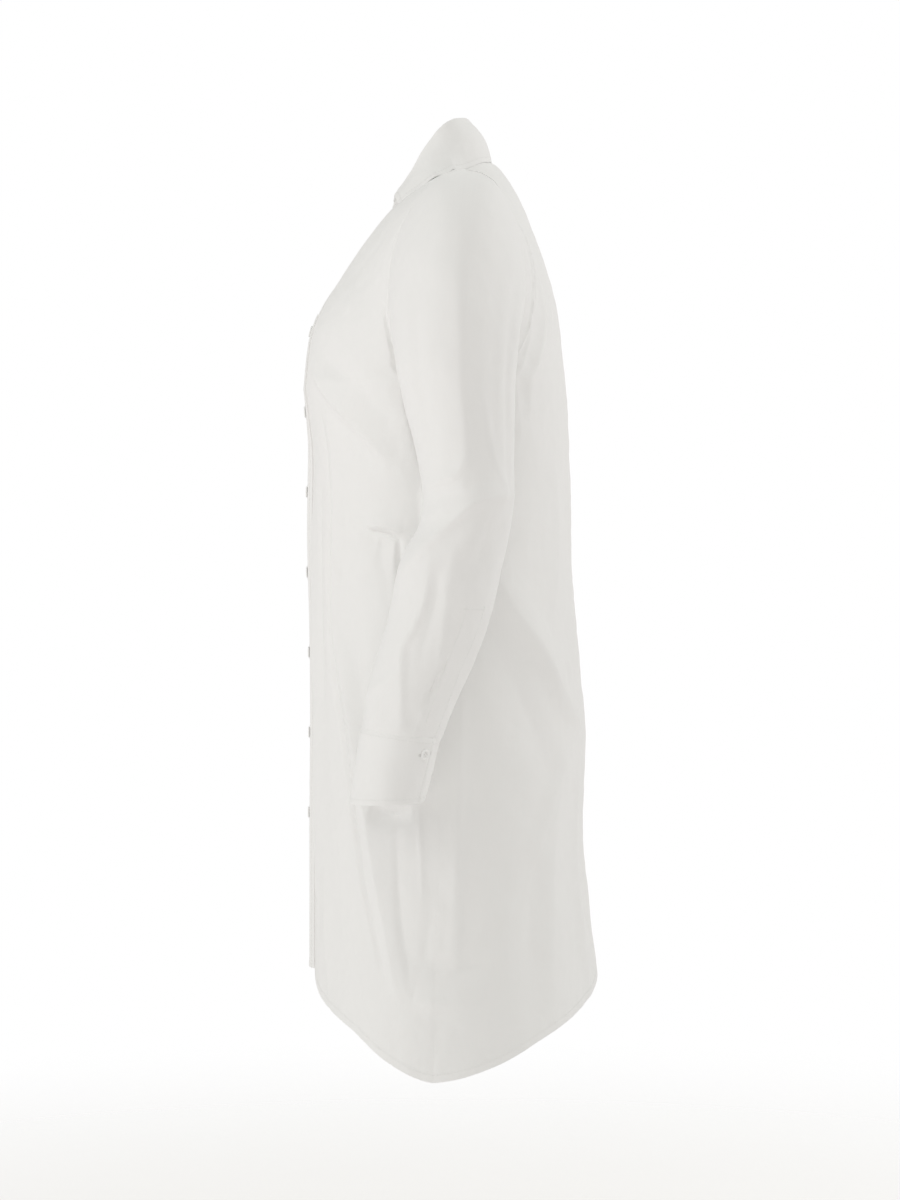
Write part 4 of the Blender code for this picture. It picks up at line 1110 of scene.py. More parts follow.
@dataclass
class Sleeve:
    """A long sleeve, its strip over the slit, and its buttoned cuff.

    A pucker's pair is the distance of its middle from the seam, then its width. The placket's
    round pair is how deep its edge rounds off, then how far in.
    """

    side: Side
    form: BodyForm
    finishes: Finishes
    flat: tuple[float, float] = (0.40, 0.56)
    start_room: float = -0.0010
    cap_slope: Point = (1.0, 0.0, -0.45)
    cap_start_pull: float = 0.85
    cap_end_pull: float = 1.10
    fold_start: float = 0.5
    fold_stop: float = 0.06
    round_length: float = 0.33
    columns: int = 108
    cap_rows: int = 60
    cap_extra: tuple[float, ...] = (0.004, 0.010, 0.022)
    lower_rows: int = 110
    foot: float = 2.0
    slope_step: float = 0.002
    rumples: Rumple = Rumple(0.040, 0.0009, 1.7, (1, 1, 0.6))
    rumple_start: float = 0.3
    rumple_stop: float = 0.1
    pucker: Rumple = Rumple(0.011, 0.0005, 9.3)
    cap_pucker: tuple[float, float] = (0.006, 0.007)
    foot_pucker: tuple[float, float] = (0.008, 0.010)
    foot_pucker_share: float = 1.4
    seam_dip: float = 0.0003
    cap_dip_width: float = 0.0020
    foot_dip_width: float = 0.0030
    lap_fade: float = 0.012
    cuff_flat: tuple[float, float] = (0.25, 0.070)
    cuff_height: float = 0.067
    cuff_columns: int = 110
    cuff_rows: int = 22
    cuff_wall: float = 0.0016
    cuff_start: float = 0.56
    cuff_lap: float = 0.10
    cuff_rumples: Rumple = Rumple(0.030, 0.0007, 4.4)
    cuff_stitching: StitchedEdge = StitchedEdge(0.0005, 0.00025, Rumple(0.009, 0.0002, 6.6))
    cuff_dip: float = 0.0006
    cuff_dip_width: float = 0.0020
    climb_start: float = 0.80
    climb_length: float = 0.14
    climb_height: float = 0.0018 + 2 * SEAM
    placket_flat: tuple[float, float] = (0.024, 0.125)
    placket_turn: float = 0.615
    placket_width: float = 0.022
    placket_length: float = 0.105
    placket_columns: int = 10
    placket_rows: int = 50
    placket_stand: float = 0.0003
    placket_wall: float = 0.0006
    placket_foot: float = 1.985
    placket_thicker: float = 0.0001
    placket_round: tuple[float, float] = (0.0004, 0.0012)
    lower_length: float = 0.30
    lower_round: float = 0.264
    rings: tuple = (
        (-0.240, -0.238, -0.047, 0.053, 0.197, 0.290), (-0.303, -0.301, -0.032, 0.052, 0.199, 0.292),
        (-0.345, -0.342, -0.031, 0.051, 0.200, 0.293), (-0.385, -0.378, -0.050, 0.044, 0.203, 0.294),
        (-0.436, -0.436, -0.061, 0.030, 0.208, 0.292), (-0.495, -0.500, -0.078, 0.004, 0.213, 0.290),
        (-0.5340, -0.5440, -0.0838, -0.0136, 0.2171, 0.2866))
    cuff_rings: tuple = (
        (-0.5306, -0.5406, -0.0842, -0.0128, 0.2168, 0.2872),
        (-0.5655, -0.5695, -0.0895, -0.0200, 0.2180, 0.2865),
        (-0.5990, -0.5970, -0.0950, -0.0270, 0.2185, 0.2860))
    tube: Cloth | None = None
    cuff: Cloth | None = None
    placket: Cloth | None = None

    def form_points(self, turn: np.ndarray, share: np.ndarray) -> np.ndarray:
        """The smooth form; share 0 is the armhole, 1 the first ring and 2 the cuff."""
        turn = turn % 1.0
        rings, front = np.array(self.rings), turn <= 0.5
        low = ring_points(spline(rings, np.maximum(share - 1, 0) * (len(rings) - 1)), turn)
        edge = np.where(front[..., None], self.form.armhole[Face.FRONT].at(turn * 2),
                        self.form.armhole[Face.BACK].at((1 - turn) * 2))
        start = edge + np.array((self.start_room, 0, 0))
        end, on = ring_points(rings[0], turn), ring_points(rings[1], turn)
        reach = np.linalg.norm(end - start, axis=-1, keepdims=True)
        out = np.array(self.cap_slope) * reach * self.cap_start_pull
        down = unit(on - end) * reach * self.cap_end_pull
        high = curve_between(start, out, end, down, share[..., None])
        return np.where((share > 1)[..., None], low, high)

    def height_of(self, turn: np.ndarray, share: np.ndarray, up: np.ndarray) -> np.ndarray:
        """How far creases push the sleeve out, fading at the armhole and the cuff."""
        total = np.zeros_like(turn)
        for crease in SLEEVE_FOLDS[self.side]:
            middle = np.mean([point[0] for point in crease.line])
            total += crease.rise((turn - middle + 0.5) % 1.0 + middle - 0.5, up, self.round_length)
        return total * ease(share / self.fold_start) * ease((self.foot - share) / self.fold_stop)

    def grid(self, turns: np.ndarray, shares: np.ndarray, lift: float, closed: bool) -> Cloth:
        """Cloth on the sleeve's form, lifted off it, with its creases and mirrored to its side."""
        turn, share = np.meshgrid(turns, shares)
        here, step = self.form_points(turn, share), self.slope_step
        across = self.form_points(turn + step, share) - self.form_points(turn - step, share)
        down = (self.form_points(turn, np.minimum(share + step, self.foot))
                - self.form_points(turn, np.maximum(share - step, 0.0)))
        rumples = self.rumples.rise(here, self.side.value)
        rumples *= ease(share / self.rumple_start) * ease((self.foot - share) / self.rumple_stop)
        height = self.height_of(turn, share, here[..., 2]) + rumples + lift
        here = here + unit(np.cross(down, across)) * height[..., None]
        here[..., 0] *= self.side.value
        return Cloth(here, closed=closed, flipped=self.side is Side.LEFT)

    def build_tube(self) -> None:
        """The sleeve itself, with puckers at both its seams."""
        turns = np.arange(self.columns) / self.columns
        near = np.linspace(0, 1, self.cap_rows + 1)[:-1]
        far = 1 + np.linspace(0, 1, self.lower_rows)
        shares = np.unique(np.concatenate([near, self.cap_extra, far]))
        self.tube = tube = self.grid(turns, shares, 0.0, True)
        cap, foot = tube.edge_gap("bottom"), tube.edge_gap("top")
        pucker = self.pucker.rise(tube.points)
        lapped = self.climb(turns + 1) * (1 - ease((turns - self.cuff_start) / self.cuff_lap))
        tube.push(pucker * bell(cap, *self.cap_pucker)
                  + pucker * self.foot_pucker_share * bell(foot, *self.foot_pucker)
                  + lapped * bell(foot, 0.0, self.lap_fade)
                  - self.seam_dip * bell(cap, 0.0, self.cap_dip_width)
                  - self.seam_dip * bell(foot, 0.0, self.foot_dip_width))
        hang(tube, f"sleeve_{self.side.word}", self.finishes.sleeve,
             f"front_{self.side.word}_cloth")

    def build_placket(self) -> None:
        """The strip over the slit, from the cuff upwards, with a squared top."""
        wide, long = self.placket_width / self.lower_round, self.placket_length / self.lower_length
        columns = graded(self.placket_columns, self.placket_width, FINE_EDGE, FINE_EDGE)
        rows = graded(self.placket_rows, self.placket_length, FINE_EDGE, ())
        self.placket = strip = self.grid(self.placket_turn + wide * (columns - 0.5),
                                         self.placket_foot - long * (1 - rows),
                                         self.placket_stand, False)
        depth, width = self.placket_round
        edge = strip.edge_gap("first", "last", "bottom")
        strip.push(self.placket_thicker - depth * bell(edge, 0.0, width))
        hang(strip, f"sleeve_placket_{self.side.word}", self.finishes.sleeve,
             f"sleeve_{self.side.word}_cloth", wall=self.placket_wall)

    def climb(self, turn: np.ndarray) -> np.ndarray:
        """How far the cuff's over end stands off to pass its under end."""
        past = turn - self.cuff_start - self.climb_start
        return ease(past / self.climb_length) * self.climb_height

    def cuff_points(self, turn: np.ndarray, share: np.ndarray) -> np.ndarray:
        """The cuff's strip, which lies on itself where its over end passes its under end."""
        rings = np.array(self.cuff_rings)
        ring = spline(rings, share * (len(rings) - 1))
        here = ring_points(ring, turn)
        across = ring_points(ring, turn + self.slope_step) - here
        down = ring_points(rings[-1], turn) - ring_points(rings[0], turn)
        return here + unit(np.cross(down, across)) * self.climb(turn)[..., None]

    def build_cuff(self) -> None:
        """The interlined cuff, stitched round all its edges."""
        columns = graded(self.cuff_columns, self.cuff_flat[0], TRIM_EDGE, TRIM_EDGE)
        rows = graded(self.cuff_rows, self.cuff_height, TRIM_EDGE, TRIM_EDGE)
        turn, share = np.meshgrid(self.cuff_start + (1 + self.cuff_lap) * columns, rows)
        here = self.cuff_points(turn, share)
        here[..., 0] *= self.side.value
        self.cuff = cuff = Cloth(here, flipped=self.side is Side.LEFT)
        edge = cuff.edge_gap("first", "last", "bottom", "top")
        cuff.push(self.cuff_rumples.rise(cuff.points, self.side.value)
                  + self.cuff_stitching.rise(edge, cuff.points)
                  - self.cuff_dip * bell(cuff.edge_gap("bottom"), 0.0, self.cuff_dip_width))
        hang(cuff, f"cuff_{self.side.word}", self.finishes.trim,
             f"sleeve_{self.side.word}_cloth", wall=self.cuff_wall)

    def build(self) -> None:
        """Builds the sleeve's three pieces."""
        self.build_tube()
        self.build_placket()
        self.build_cuff()


# ------------------------------------------------------------------ collar
@dataclass
class Collar:
    """A stand on the neckline and a leaf that rolls over it and falls outwards.

    roll_foot and roll_inside are heights over the stand's top edge, and roll_crest over the
    middle of the roll. The rest values bring the leaf's outer part down onto the panels, and
    the slit values lift a short stretch of its edge.
    """

    form: BodyForm
    finishes: Finishes
    panels: dict
    columns: int = 64
    half_length: float = 0.16
    neck_places: int = 3
    narrower: float = 0.985
    lower: float = 0.0012
    stand_flat: tuple[float, float] = (0.32, 0.043)
    stand_rows: int = 16
    stand_height: float = 0.035
    stand_edge: tuple[float, ...] = (0.0006, 0.0016)
    stand_wall: float = 0.0012
    stand_rumples: Rumple = Rumple(0.025, 0.0004, 2.2)
    stand_round: tuple[float, float] = (0.0005, 0.0012)
    stand_top: Rail = Rail(
        (0.0365, -0.0598, -0.0240), (0.0455, -0.0450, -0.0065), (0.0510, -0.0310, 0.0150),
        (0.0545, -0.0170, 0.0345), (0.0525, -0.0055, 0.0450), (0.039, 0.0060, 0.0500),
        (0.021, 0.0125, 0.0515), (0, 0.0145, 0.0520))
    leaf_top: Rail = Rail(
        (0.039, -0.0602, -0.0215), (0.0475, -0.0465, -0.0030), (0.0535, -0.0325, 0.0195),
        (0.0570, -0.0180, 0.0395), (0.0550, -0.0050, 0.0500), (0.041, 0.0075, 0.0550),
        (0.022, 0.0145, 0.0565), (0, 0.0165, 0.0570))
    leaf_edge: Rail = Rail(
        (0.078, -0.0572, -0.0338), (0.0880, -0.0375, -0.0205), (0.0905, -0.0180, -0.0085),
        (0.0800, -0.0020, 0.0000), (0.0640, 0.0115, 0.0045), (0.0490, 0.0230, 0.0105),
        (0.0275, 0.0335, 0.0178), (0, 0.0385, 0.0208))
    leaf_flat: tuple[float, float] = (0.33, 0.061)
    leaf_wall: float = 0.0012
    leaf_bulge: float = 0.0035
    leaf_rumples: Rumple = Rumple(0.035, 0.0010, 5.5)
    leaf_pressed: float = 0.85
    leaf_stitching: StitchedEdge = StitchedEdge(0.0004, 0.00025, Rumple(0.009, 0.00015, 8.8),
                                                pucker_place=0.006, pucker_width=0.004)
    roll_rows: int = 9
    roll_foot: float = -0.0020
    roll_inside: float = 0.0016
    roll_crest: float = 0.0031
    fall_rows: int = 26
    fall_length: float = 0.045
    rest_from: float = 0.35
    rest_gap: float = 0.0007
    rest_limit: float = 0.004
    rest_reaches: tuple[int, ...] = (4, 2, 1, 1)
    slit_from: float = 0.6
    slit_place: float = 0.27
    slit_width: float = 0.055
    slit_height: float = 0.0017
    stand: Cloth | None = None
    leaf: Cloth | None = None

    def shares(self) -> np.ndarray:
        """Places along a rail, closer together at the collar's front end."""
        return graded(self.columns, self.half_length, TRIM_EDGE, ())

    def mirrored(self, rail: Rail) -> np.ndarray:
        """Points from the left front end, round the back, to the right front end."""
        left = rail.at(self.shares())
        return np.concatenate([left, (left * (-1, 1, 1))[-2::-1]])

    def neckline(self) -> Rail:
        """The stand's foot, just inside the neckline, from its front end to the centre back."""
        front = self.form.upper_edge[Face.FRONT].places[-self.neck_places:]
        places = front + self.form.neck_back.places[-2::-1]
        return Rail(*[(x * self.narrower, y, z - self.lower) for x, y, z in places])

    def build_stand(self) -> None:
        """The upright band round the neck."""
        bottom, top = self.mirrored(self.neckline()), self.mirrored(self.stand_top)
        up = graded(self.stand_rows, self.stand_height, self.stand_edge, self.stand_edge)
        self.stand = stand = Cloth(bottom + (top - bottom) * up[:, None, None])
        depth, width = self.stand_round
        stand.push(self.stand_rumples.rise(stand.points)
                   - depth * bell(stand.edge_gap("bottom", "top"), 0.0, width))
        hang(stand, "collar_stand", self.finishes.trim, "back_cloth",
             wall=self.stand_wall)

    def leaf_rows(self) -> tuple[np.ndarray, np.ndarray]:
        """The leaf's rows, and how far down its outer side each one lies, from 0 to 1."""
        inner, top, edge = (self.mirrored(r) for r in (self.stand_top, self.leaf_top, self.leaf_edge))
        away = unit((edge - top) * (1, 1, 0))
        inside = inner - away * self.stand_wall
        knots = np.stack([inside + (0, 0, self.roll_foot), inside + (0, 0, self.roll_inside),
                          (inner + top) / 2 + (0, 0, self.roll_crest), top])
        rolls = np.linspace(0, len(knots) - 1, self.roll_rows + 1)[:-1]
        rows = list(spline(knots.reshape(len(knots), -1), rolls).reshape(len(rolls), *inner.shape))
        falls = graded(self.fall_rows, self.fall_length, (), TRIM_EDGE)
        for fall in falls:
            bulge = math.sin(math.pi * fall) * self.leaf_bulge
            rows.append(top + (edge - top) * fall + away * bulge + (0, 0, bulge / 2))
        return np.array(rows), np.concatenate([np.zeros(len(rolls)), falls])

    def rested(self, rows: np.ndarray, falls: np.ndarray) -> np.ndarray:
        """The leaf's rows, its outer part brought down until it lies on the panels.

        Args:
            rows: the leaf's points.
            falls: how far down the leaf each row lies.
        """
        tree = search_tree(list(self.panels.values()))
        weights = ease((falls - self.rest_from) / (1 - self.rest_from))
        for reach in self.rest_reaches:
            moves = [normal * short for normal, short in
                     (self.to_rest(tree, point) for point in rows[-1])]
            rows = rows + smoothed(np.array(moves)[None], reach) * weights[:, None, None]
        for row in np.flatnonzero(weights):
            for column in range(rows.shape[1]):
                normal, short = self.to_rest(tree, rows[row, column])
                if 0 < short < self.rest_limit:
                    rows[row, column] += np.array(normal) * short
        return rows

    def to_rest(self, tree: BVHTree, point: np.ndarray) -> tuple[Vector, float]:
        """The panels' outward direction beside a point, and how far it is short of its place."""
        place, normal, _, _ = tree.find_nearest(Vector(point))
        return normal, self.rest_gap - (Vector(point) - place).dot(normal)

    def slit(self, falls: np.ndarray) -> np.ndarray:
        """How far the leaf's edge lifts in one short stretch on each side of the neck."""
        near = bell(self.shares(), self.slit_place, self.slit_width)
        along = np.concatenate([near, near[-2::-1]])
        down = ease((falls - self.slit_from) / (1 - self.slit_from))
        return self.slit_height * down[:, None] * along

    def build_leaf(self) -> None:
        """The leaf: up inside the stand's top, over a round roll and down to its edge."""
        rows, falls = self.leaf_rows()
        self.leaf = leaf = Cloth(self.rested(rows, falls), flipped=True)
        leaf.push(self.slit(falls))
        soft = (1 - self.leaf_pressed * ease(falls))[:, None]
        edge = leaf.edge_gap("top", "first", "last")
        leaf.push(self.leaf_rumples.rise(leaf.points) * soft
                  + self.leaf_stitching.rise(edge, leaf.points))
        hang(leaf, "collar_leaf", self.finishes.trim, "collar_stand_cloth",
             wall=self.leaf_wall)

    def build(self) -> None:
        """Builds the stand, then the leaf."""
        self.build_stand()
        self.build_leaf()


# ------------------------------------------------------------------ buttons
@dataclass
class Button:
    """A flat four-hole button with a raised rim, sewn on through its holes.

    It faces forward and lies on the cloth under it. Its buttonhole runs along hole_runs.
    """

    node: str
    forward: Vector
    finishes: Finishes
    under: Cloth
    hole_runs: Vector
    sides: int = 40
    rim: float = 0.16
    crisp_angle: float = 38
    hole_share: float = 0.13
    hole_place: float = 0.23
    hole_sides: int = 12
    thread_radius: float = 0.00028
    thread_apart: float = 1.5
    thread_top: float = 0.30
    thread_low: float = 0.45
    pulled_in: float = 0.0006
    place: Vector | None = None
    axis: Vector | None = None
    radius: float = 0.0
    depth: float = 0.0

    def measure(self) -> None:
        """Reads the solid's place, lean, radius and depth from the frame."""
        points = np.array([v.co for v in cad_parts[self.node].data.vertices])
        middle = (points.min(0) + points.max(0)) / 2
        axis = Vector(np.linalg.svd(points - points.mean(0))[2][2])
        self.axis = axis if axis.dot(self.forward) > 0 else -axis
        self.place = Vector(middle) - self.axis * self.pulled_in
        away = (points - middle) @ np.array(self.axis)
        self.depth = float(away.max() - away.min())
        self.radius = float(np.linalg.norm(points - middle - np.outer(away, self.axis), axis=1).max())

    def profile(self) -> list[tuple[float, float]]:
        """The turned outline from the middle of the back to the middle of the front."""
        r, h = self.radius, self.depth / 2
        return [(0, -h), (r * 0.80, -h), (r * 0.93, -h * 0.7), (r * 0.985, -h * 0.2), (r, h * 0.1),
                (r * 0.985, h * 0.55), (r * 0.95, h * 0.88), (r * 0.90, h), (r * (0.92 - self.rim), h),
                (r * (0.86 - self.rim), h * 0.82), (r * (0.80 - self.rim), h * 0.45),
                (r * 0.45, h * 0.35), (0, h * 0.35)]

    def turned(self) -> bpy.types.Object:
        """The disc, turned round its profile."""
        outline = self.profile()
        points, faces = [(0, 0, outline[0][1])], []
        for x, z in outline[1:-1]:
            points += [(x * math.cos(2 * math.pi * k / self.sides),
                        x * math.sin(2 * math.pi * k / self.sides), z) for k in range(self.sides)]
        points.append((0, 0, outline[-1][1]))
        last, rings = len(points) - 1, len(outline) - 2
        for k in range(self.sides):
            on = (k + 1) % self.sides
            faces.append((0, 1 + on, 1 + k))
            for ring in range(rings - 1):
                low, high = 1 + ring * self.sides, 1 + (ring + 1) * self.sides
                faces.append((low + k, low + on, high + on, high + k))
            top = 1 + (rings - 1) * self.sides
            faces.append((top + k, top + on, last))
        mesh = bpy.data.meshes.new(self.node + "_disc")
        mesh.from_pydata(points, [], faces)
        return add_object(mesh.name, mesh)

    def holes(self) -> list[tuple[float, float]]:
        """The four holes' places on the disc."""
        step = self.radius * self.hole_place
        return [(x * step, y * step) for x in (-1, 1) for y in (-1, 1)]

    def drilled(self) -> bpy.types.Mesh:
        """The disc's mesh with its holes cut through."""
        disc, drills = self.turned(), []
        for x, y in self.holes():
            bpy.ops.mesh.primitive_cylinder_add(vertices=self.hole_sides, depth=self.depth * 4,
                                                radius=self.radius * self.hole_share,
                                                location=(x, y, 0))
            drills.append(bpy.context.active_object)
        for drill in drills:
            cut = disc.modifiers.new("hole", "BOOLEAN")
            cut.object, cut.operation = drill, "DIFFERENCE"
        mesh = finished_mesh(disc)
        for spare in drills + [disc]:
            bpy.data.objects.remove(spare, do_unlink=True)
        return mesh

    def thread_runs(self) -> list[list[Point]]:
        """The thread through the holes, two runs side by side over each pair of them."""
        low, top = -self.depth * self.thread_low, self.depth * self.thread_top
        runs, holes = [], self.holes()
        for (x, y), (_, far) in (holes[:2], holes[2:]):
            for shift in (-0.5, 0.5):
                across = x + shift * self.thread_radius * self.thread_apart
                runs.append([(across, y, low), (across, y, top * 0.6), (across, y * 0.6, top * 1.4),
                             (across, far * 0.6, top * 1.4), (across, far, top * 0.6),
                             (across, far, low)])
        return runs

    def build(self) -> list[np.ndarray]:
        """Makes the drilled disc in place of its solid.

        Returns:
            The sewing thread's runs over the button, in the dress's own frame.
        """
        self.measure()
        turn = Vector((0, 0, 1)).rotation_difference(self.axis).to_matrix().to_4x4()
        turn.translation = self.place
        mesh = self.drilled()
        mesh.transform(turn)
        mesh.shade_smooth()
        mesh.set_sharp_from_angle(angle=math.radians(self.crisp_angle))
        dress(add_object(self.node + "_shell", mesh), self.finishes.button, "button", self.node)
        return [np.array([turn @ Vector(place) for place in run]) for run in self.thread_runs()]


# ------------------------------------------------------------------ sewing
@dataclass(frozen=True)
class Buttonhole:
    """Close zigzags of thread down both sides of a slit.

    half is half its length, and clear is how far the stitches start from its middle.
    """

    half: float = 0.0075
    stitch_width: float = 0.0011
    pitch: float = 0.00055
    clear: float = 0.0002
    lift: float = 0.00015

    def lines(self, button: Button) -> list[np.ndarray]:
        """The thread's two lines, worked in the cloth under a built button."""
        tree = search_tree([button.under])
        out = tree.find_nearest(button.place)[1]
        up = (button.hole_runs - out * button.hole_runs.dot(out)).normalized()
        side = up.cross(out).normalized()
        lines = []
        for sign in (-1, 1):
            line = []
            for k in range(int(2 * self.half / self.pitch) + 1):
                across = sign * (self.clear + (self.stitch_width if k % 2 else 0.0))
                aim = button.place + up * (k * self.pitch - self.half) + side * across
                spot, rise, _, _ = tree.find_nearest(aim)
                line.append(spot + rise * self.lift)
            lines.append(np.array(line))
        return lines


@dataclass
class Sewing:
    """Runs of stitches and lengths of thread, made by node trees along paths."""

    finishes: Finishes
    stitch_pitch: float = 0.0032
    stitch_length: float = 0.0025
    stitch_width: float = 0.00042
    shortest: float = 0.86
    longest: float = 1.06
    thread_radius: float = 0.00022

    def tree(self, name: str, sizes: dict[str, float]) -> tuple[bpy.types.NodeTree, dict[str, str]]:
        """A node tree with a geometry input, named sizes and a material.

        Returns:
            The tree and the identifier of each named input.
        """
        made = bpy.data.node_groups.new(name, "GeometryNodeTree")
        made.interface.new_socket("Geometry", in_out="INPUT", socket_type="NodeSocketGeometry")
        keys = {}
        for size, value in sizes.items():
            kind = "NodeSocketInt" if size == "Seed" else "NodeSocketFloat"
            socket = made.interface.new_socket(size, in_out="INPUT", socket_type=kind)
            socket.default_value = value
            keys[size] = socket.identifier
        socket = made.interface.new_socket("Thread", in_out="INPUT", socket_type="NodeSocketMaterial")
        keys["Thread"] = socket.identifier
        made.interface.new_socket("Geometry", in_out="OUTPUT", socket_type="NodeSocketGeometry")
        return made, keys

    def stitch_tree(self) -> tuple[bpy.types.NodeTree, dict[str, str]]:
        """Short capsules along each path, one for each stitch."""
        made, keys = self.tree("stitches", {"Pitch": self.stitch_pitch, "Length": self.stitch_length,
                                            "Width": self.stitch_width, "Seed": 4})
        nodes = Nodes(made)
        given = nodes.add("NodeGroupInput").outputs
        spots = nodes.add("GeometryNodeCurveToPoints", {"mode": "LENGTH"}, Curve=given["Geometry"],
                          Length=given["Pitch"])
        turned = nodes.add("FunctionNodeAlignRotationToVector", {"axis": "Z"},
                           Vector=spots.outputs["Tangent"])
        uneven = nodes.add("FunctionNodeRandomValue", {"data_type": "FLOAT"}, Seed=given["Seed"])
        nodes.put(uneven.inputs[2], self.shortest)
        nodes.put(uneven.inputs[3], self.longest)
        long = nodes.math("MULTIPLY", given["Length"], uneven.outputs[1])
        size = nodes.add("ShaderNodeCombineXYZ", X=given["Width"], Y=given["Width"], Z=long)
        capsule = nodes.add("GeometryNodeMeshUVSphere", Segments=6, Rings=4, Radius=0.5)
        placed = nodes.add("GeometryNodeInstanceOnPoints", Points=spots.outputs["Points"],
                           Instance=capsule.outputs["Mesh"], Rotation=turned.outputs[0],
                           Scale=size.outputs[0])
        self.close_tree(nodes, placed.outputs[0], given["Thread"])
        return made, keys

    def thread_tree(self) -> tuple[bpy.types.NodeTree, dict[str, str]]:
        """A round thread along each path."""
        made, keys = self.tree("thread", {"Radius": self.thread_radius})
        nodes = Nodes(made)
        given = nodes.add("NodeGroupInput").outputs
        ring = nodes.add("GeometryNodeCurvePrimitiveCircle", Resolution=5, Radius=given["Radius"])
        pipe = nodes.add("GeometryNodeCurveToMesh", Curve=given["Geometry"],
                         Profile_Curve=ring.outputs[0], Fill_Caps=True)
        self.close_tree(nodes, pipe.outputs[0], given["Thread"])
        return made, keys

    def close_tree(self, nodes: Nodes, shape: bpy.types.NodeSocket,
                   thread: bpy.types.NodeSocket) -> None:
        """Ends a tree: real geometry, smooth, in the thread's material."""
        real = nodes.add("GeometryNodeRealizeInstances", Geometry=shape)
        smooth = nodes.add("GeometryNodeSetShadeSmooth", Geometry=real.outputs[0])
        worn = nodes.add("GeometryNodeSetMaterial", Geometry=smooth.outputs[0], Material=thread)
        nodes.put(nodes.add("NodeGroupOutput").inputs[0], worn.outputs[0])

    def sew(self, name: str, paths: list[np.ndarray], trees: tuple, **sizes: float) -> None:
        """Turns paths into one mesh of stitches or thread.

        Args:
            name: the piece's name.
            paths: lines of points.
            trees: the node tree and its inputs' identifiers.
            sizes: inputs that differ from the tree's own.
        """
        line = bpy.data.curves.new(name, "CURVE")
        line.dimensions = "3D"
        for path in paths:
            run = line.splines.new("POLY")
            run.points.add(len(path) - 1)
            run.points.foreach_set("co", np.column_stack([path, np.ones(len(path))]).ravel())
        guide = add_object(name + "_guide", line)
        tree, keys = trees
        sewn = guide.modifiers.new("sewing", "NODES")
        sewn.node_group = tree
        for key, value in sizes.items():
            sewn[keys[key.capitalize()]] = value
        sewn[keys["Thread"]] = self.finishes.thread
        mesh = finished_mesh(guide)
        guide.modifiers.remove(sewn)
        bpy.data.objects.remove(guide, do_unlink=True)
        dress(add_object(name, mesh), self.finishes.thread, "cotton")
        log.info("%s: %d paths, %d faces", name, len(paths), len(mesh.polygons))


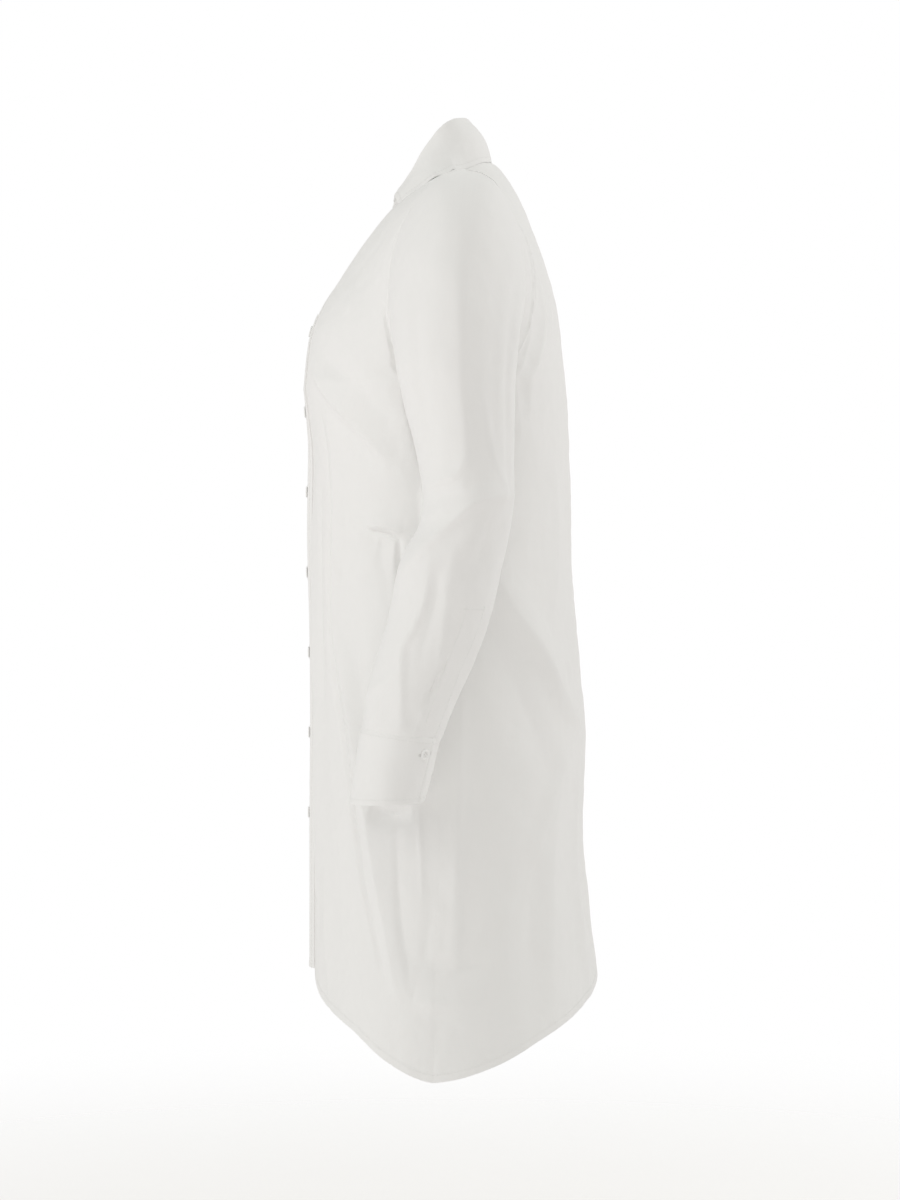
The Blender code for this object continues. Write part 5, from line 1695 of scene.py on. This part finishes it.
# ------------------------------------------------------------------ studio
@dataclass(frozen=True)
class Studio:
    """A pale floor, soft white surroundings and a camera at the dress's side.

    A light is its place, its size and its power. The fade values are shares of the floor's
    radius, and the sky values how bright the surroundings are.
    """

    camera_place: Point = (2.3, -0.005, -0.418)
    lens: float = 69.0
    sensor: float = 36.0
    floor_height: float = -1.30
    floor_radius: float = 2.4
    floor_dim: Colour = (0.90, 0.90, 0.895, 1)
    floor_bright: Colour = (0.93, 0.93, 0.925, 1)
    floor_glow: float = 0.16
    glow_colour: Colour = (1, 0.92, 0.90, 1)
    fade_from: float = 0.25
    fade_to: float = 0.98
    sky: float = 0.40
    sky_near: float = 0.42
    sky_far: float = 0.28
    sky_below: float = 0.54
    sky_above: float = 0.05
    low_colour: Colour = (1.0, 0.935, 0.932, 1)
    high_colour: Colour = (0.957, 0.972, 0.925, 1)
    seen_colour: Colour = (1, 1, 1, 1)
    aim: Point = (0, 0, -0.4)
    front_light: tuple = ((0.9, -2.6, 0.7), 1.8, 25.0)
    back_light: tuple = ((-0.6, 2.3, 1.8), 1.2, 32.0)

    def camera(self) -> None:
        """The camera, level with the middle of the dress and square to its side."""
        data = bpy.data.cameras.new("camera")
        data.lens, data.sensor_width, data.sensor_fit = self.lens, self.sensor, "AUTO"
        made = add_object("camera", data)
        made.location = self.camera_place
        made.rotation_euler = (math.pi / 2, 0, math.pi / 2)
        bpy.context.scene.camera = made

    def floor(self) -> None:
        """A round pale floor that fades out towards its edge."""
        bpy.ops.mesh.primitive_circle_add(vertices=96, radius=self.floor_radius, fill_type="NGON",
                                          location=(0, 0, self.floor_height))
        made = bpy.context.active_object
        made.name = "pale_floor"
        material, nodes, shader = new_material("pale_floor")
        place = nodes.add("ShaderNodeTexCoord").outputs["Object"]
        grain = nodes.add("ShaderNodeTexNoise", Vector=place, Scale=3.0, Detail=3.0)
        distance = nodes.add("ShaderNodeVectorMath", {"operation": "LENGTH"}, Vector=place)
        fade = nodes.add("ShaderNodeMapRange", {"interpolation_type": "SMOOTHSTEP"},
                         Value=distance.outputs["Value"],
                         From_Min=self.floor_radius * self.fade_from,
                         From_Max=self.floor_radius * self.fade_to, To_Min=1.0, To_Max=0.0)
        tone = nodes.mix(grain.outputs["Fac"], self.floor_dim, self.floor_bright)
        nodes.fill(shader, Base_Color=tone, Roughness=0.9, Emission_Color=self.glow_colour,
                   Emission_Strength=self.floor_glow, Alpha=fade.outputs[0])
        made.data.materials.append(material)

    def surroundings(self) -> None:
        """White surroundings, brightest on the wearer's left and below, and warmer from below."""
        world = bpy.data.worlds.new("white_studio")
        bpy.context.scene.world = world
        world.use_nodes = True
        world.node_tree.nodes.clear()
        nodes = Nodes(world.node_tree)
        toward = nodes.add("ShaderNodeTexCoord").outputs["Generated"]
        side, _, up = nodes.add("ShaderNodeSeparateXYZ", Vector=toward).outputs
        height = nodes.add("ShaderNodeMapRange", Value=up, From_Min=-1.0, From_Max=1.0)
        tint = nodes.mix(height.outputs[0], self.low_colour, self.high_colour)
        beside, upright = (nodes.math("MAXIMUM", nodes.math("MULTIPLY", part, first),
                                      nodes.math("MULTIPLY", part, second))
                           for part, first, second in ((side, self.sky_near, -self.sky_far),
                                                       (up, -self.sky_below, self.sky_above)))
        strength = nodes.math("ADD", beside, nodes.math("ADD", upright, self.sky))
        lighting = nodes.add("ShaderNodeBackground", Color=tint, Strength=strength)
        seen = nodes.add("ShaderNodeBackground", Color=self.seen_colour, Strength=1.0)
        ray = nodes.add("ShaderNodeLightPath")
        chosen = nodes.add("ShaderNodeMixShader", Fac=ray.outputs["Is Camera Ray"])
        nodes.put(chosen.inputs[1], lighting.outputs[0])
        nodes.put(chosen.inputs[2], seen.outputs[0])
        nodes.add("ShaderNodeOutputWorld", Surface=chosen.outputs[0])

    def softbox(self, name: str, place: Point, size: float, power: float) -> None:
        """A square area light that faces the middle of the dress."""
        data = bpy.data.lights.new(name, "AREA")
        data.shape, data.size, data.energy = "SQUARE", size, power
        made = add_object(name, data)
        made.location = place
        aim = Vector(self.aim) - Vector(place)
        made.rotation_euler = aim.to_track_quat("-Z", "Y").to_euler()

    def build(self) -> None:
        """Sets up everything that isn't part of the dress."""
        self.camera()
        self.floor()
        self.surroundings()
        self.softbox("front_softbox", *self.front_light)
        self.softbox("back_softbox", *self.back_light)
        view = bpy.context.scene.view_settings
        view.view_transform, view.look, view.exposure = "Standard", "None", 0.0


# ------------------------------------------------------------------ the whole dress
def make_buttons(finishes: Finishes, band: ButtonBand, sleeves: list[Sleeve]) -> list[Button]:
    """The seven front buttons from the top down, then the cuffs'."""
    buttons = [Button(f"button_{n}", Vector((0, -1, 0)), finishes, band.cloth, Vector((0, 0, 1)))
               for n in range(1, 8)]
    return buttons + [Button(f"cuff_button_{sleeve.side.word}", Vector((sleeve.side.value, 0, 0)),
                             finishes, sleeve.cuff, Vector((0, 1, 0))) for sleeve in sleeves]


def main() -> None:
    """Builds every piece in order, then the studio round it."""
    logging.basicConfig(level=logging.INFO, format="%(name)s: %(message)s")
    finishes, form = Finishes.make(), BodyForm()
    body = Body(form, finishes)
    body.build()
    band = ButtonBand(finishes, body)
    band.build()
    sleeves = [Sleeve(side, form, finishes) for side in Side]
    for sleeve in sleeves:
        sleeve.build()
    collar = Collar(form, finishes, body.panels)
    collar.build()
    buttons = make_buttons(finishes, band, sleeves)
    threads = [run for button in buttons for run in button.build()]
    sewing = Sewing(finishes)
    stitches, thread = sewing.stitch_tree(), sewing.thread_tree()
    hem = [cloth.line_from("bottom", body.hem_stitch) for cloth in body.panels.values()]
    sewing.sew("hem_stitches", hem, stitches)
    edges = [band.cloth.line_from(edge, EDGE_STITCH) for edge in ("first", "last")]
    sewing.sew("band_stitches", edges, stitches)
    sewing.sew("collar_stitches", [collar.leaf.line_from("top", EDGE_STITCH),
                                   collar.leaf.line_from("first", EDGE_STITCH, *LEAF_ENDS),
                                   collar.leaf.line_from("last", EDGE_STITCH, *LEAF_ENDS),
                                   collar.stand.line_from("bottom", STAND_STITCH)], stitches)
    for sleeve in sleeves:
        lines = [sleeve.cuff.line_from(edge, EDGE_STITCH)
                 for edge in ("bottom", "top", "first", "last")]
        lines += [sleeve.placket.line_from(edge, PLACKET_STITCH)
                  for edge in ("first", "last", "bottom")]
        sewing.sew(f"sleeve_{sleeve.side.word}_stitches", lines, stitches)
    holes = [line for button in buttons for line in Buttonhole().lines(button)]
    sewing.sew("buttonholes", holes, thread)
    sewing.sew("button_threads", threads, thread, radius=buttons[0].thread_radius)
    Studio().build()


if __name__ == "__main__":
    main()
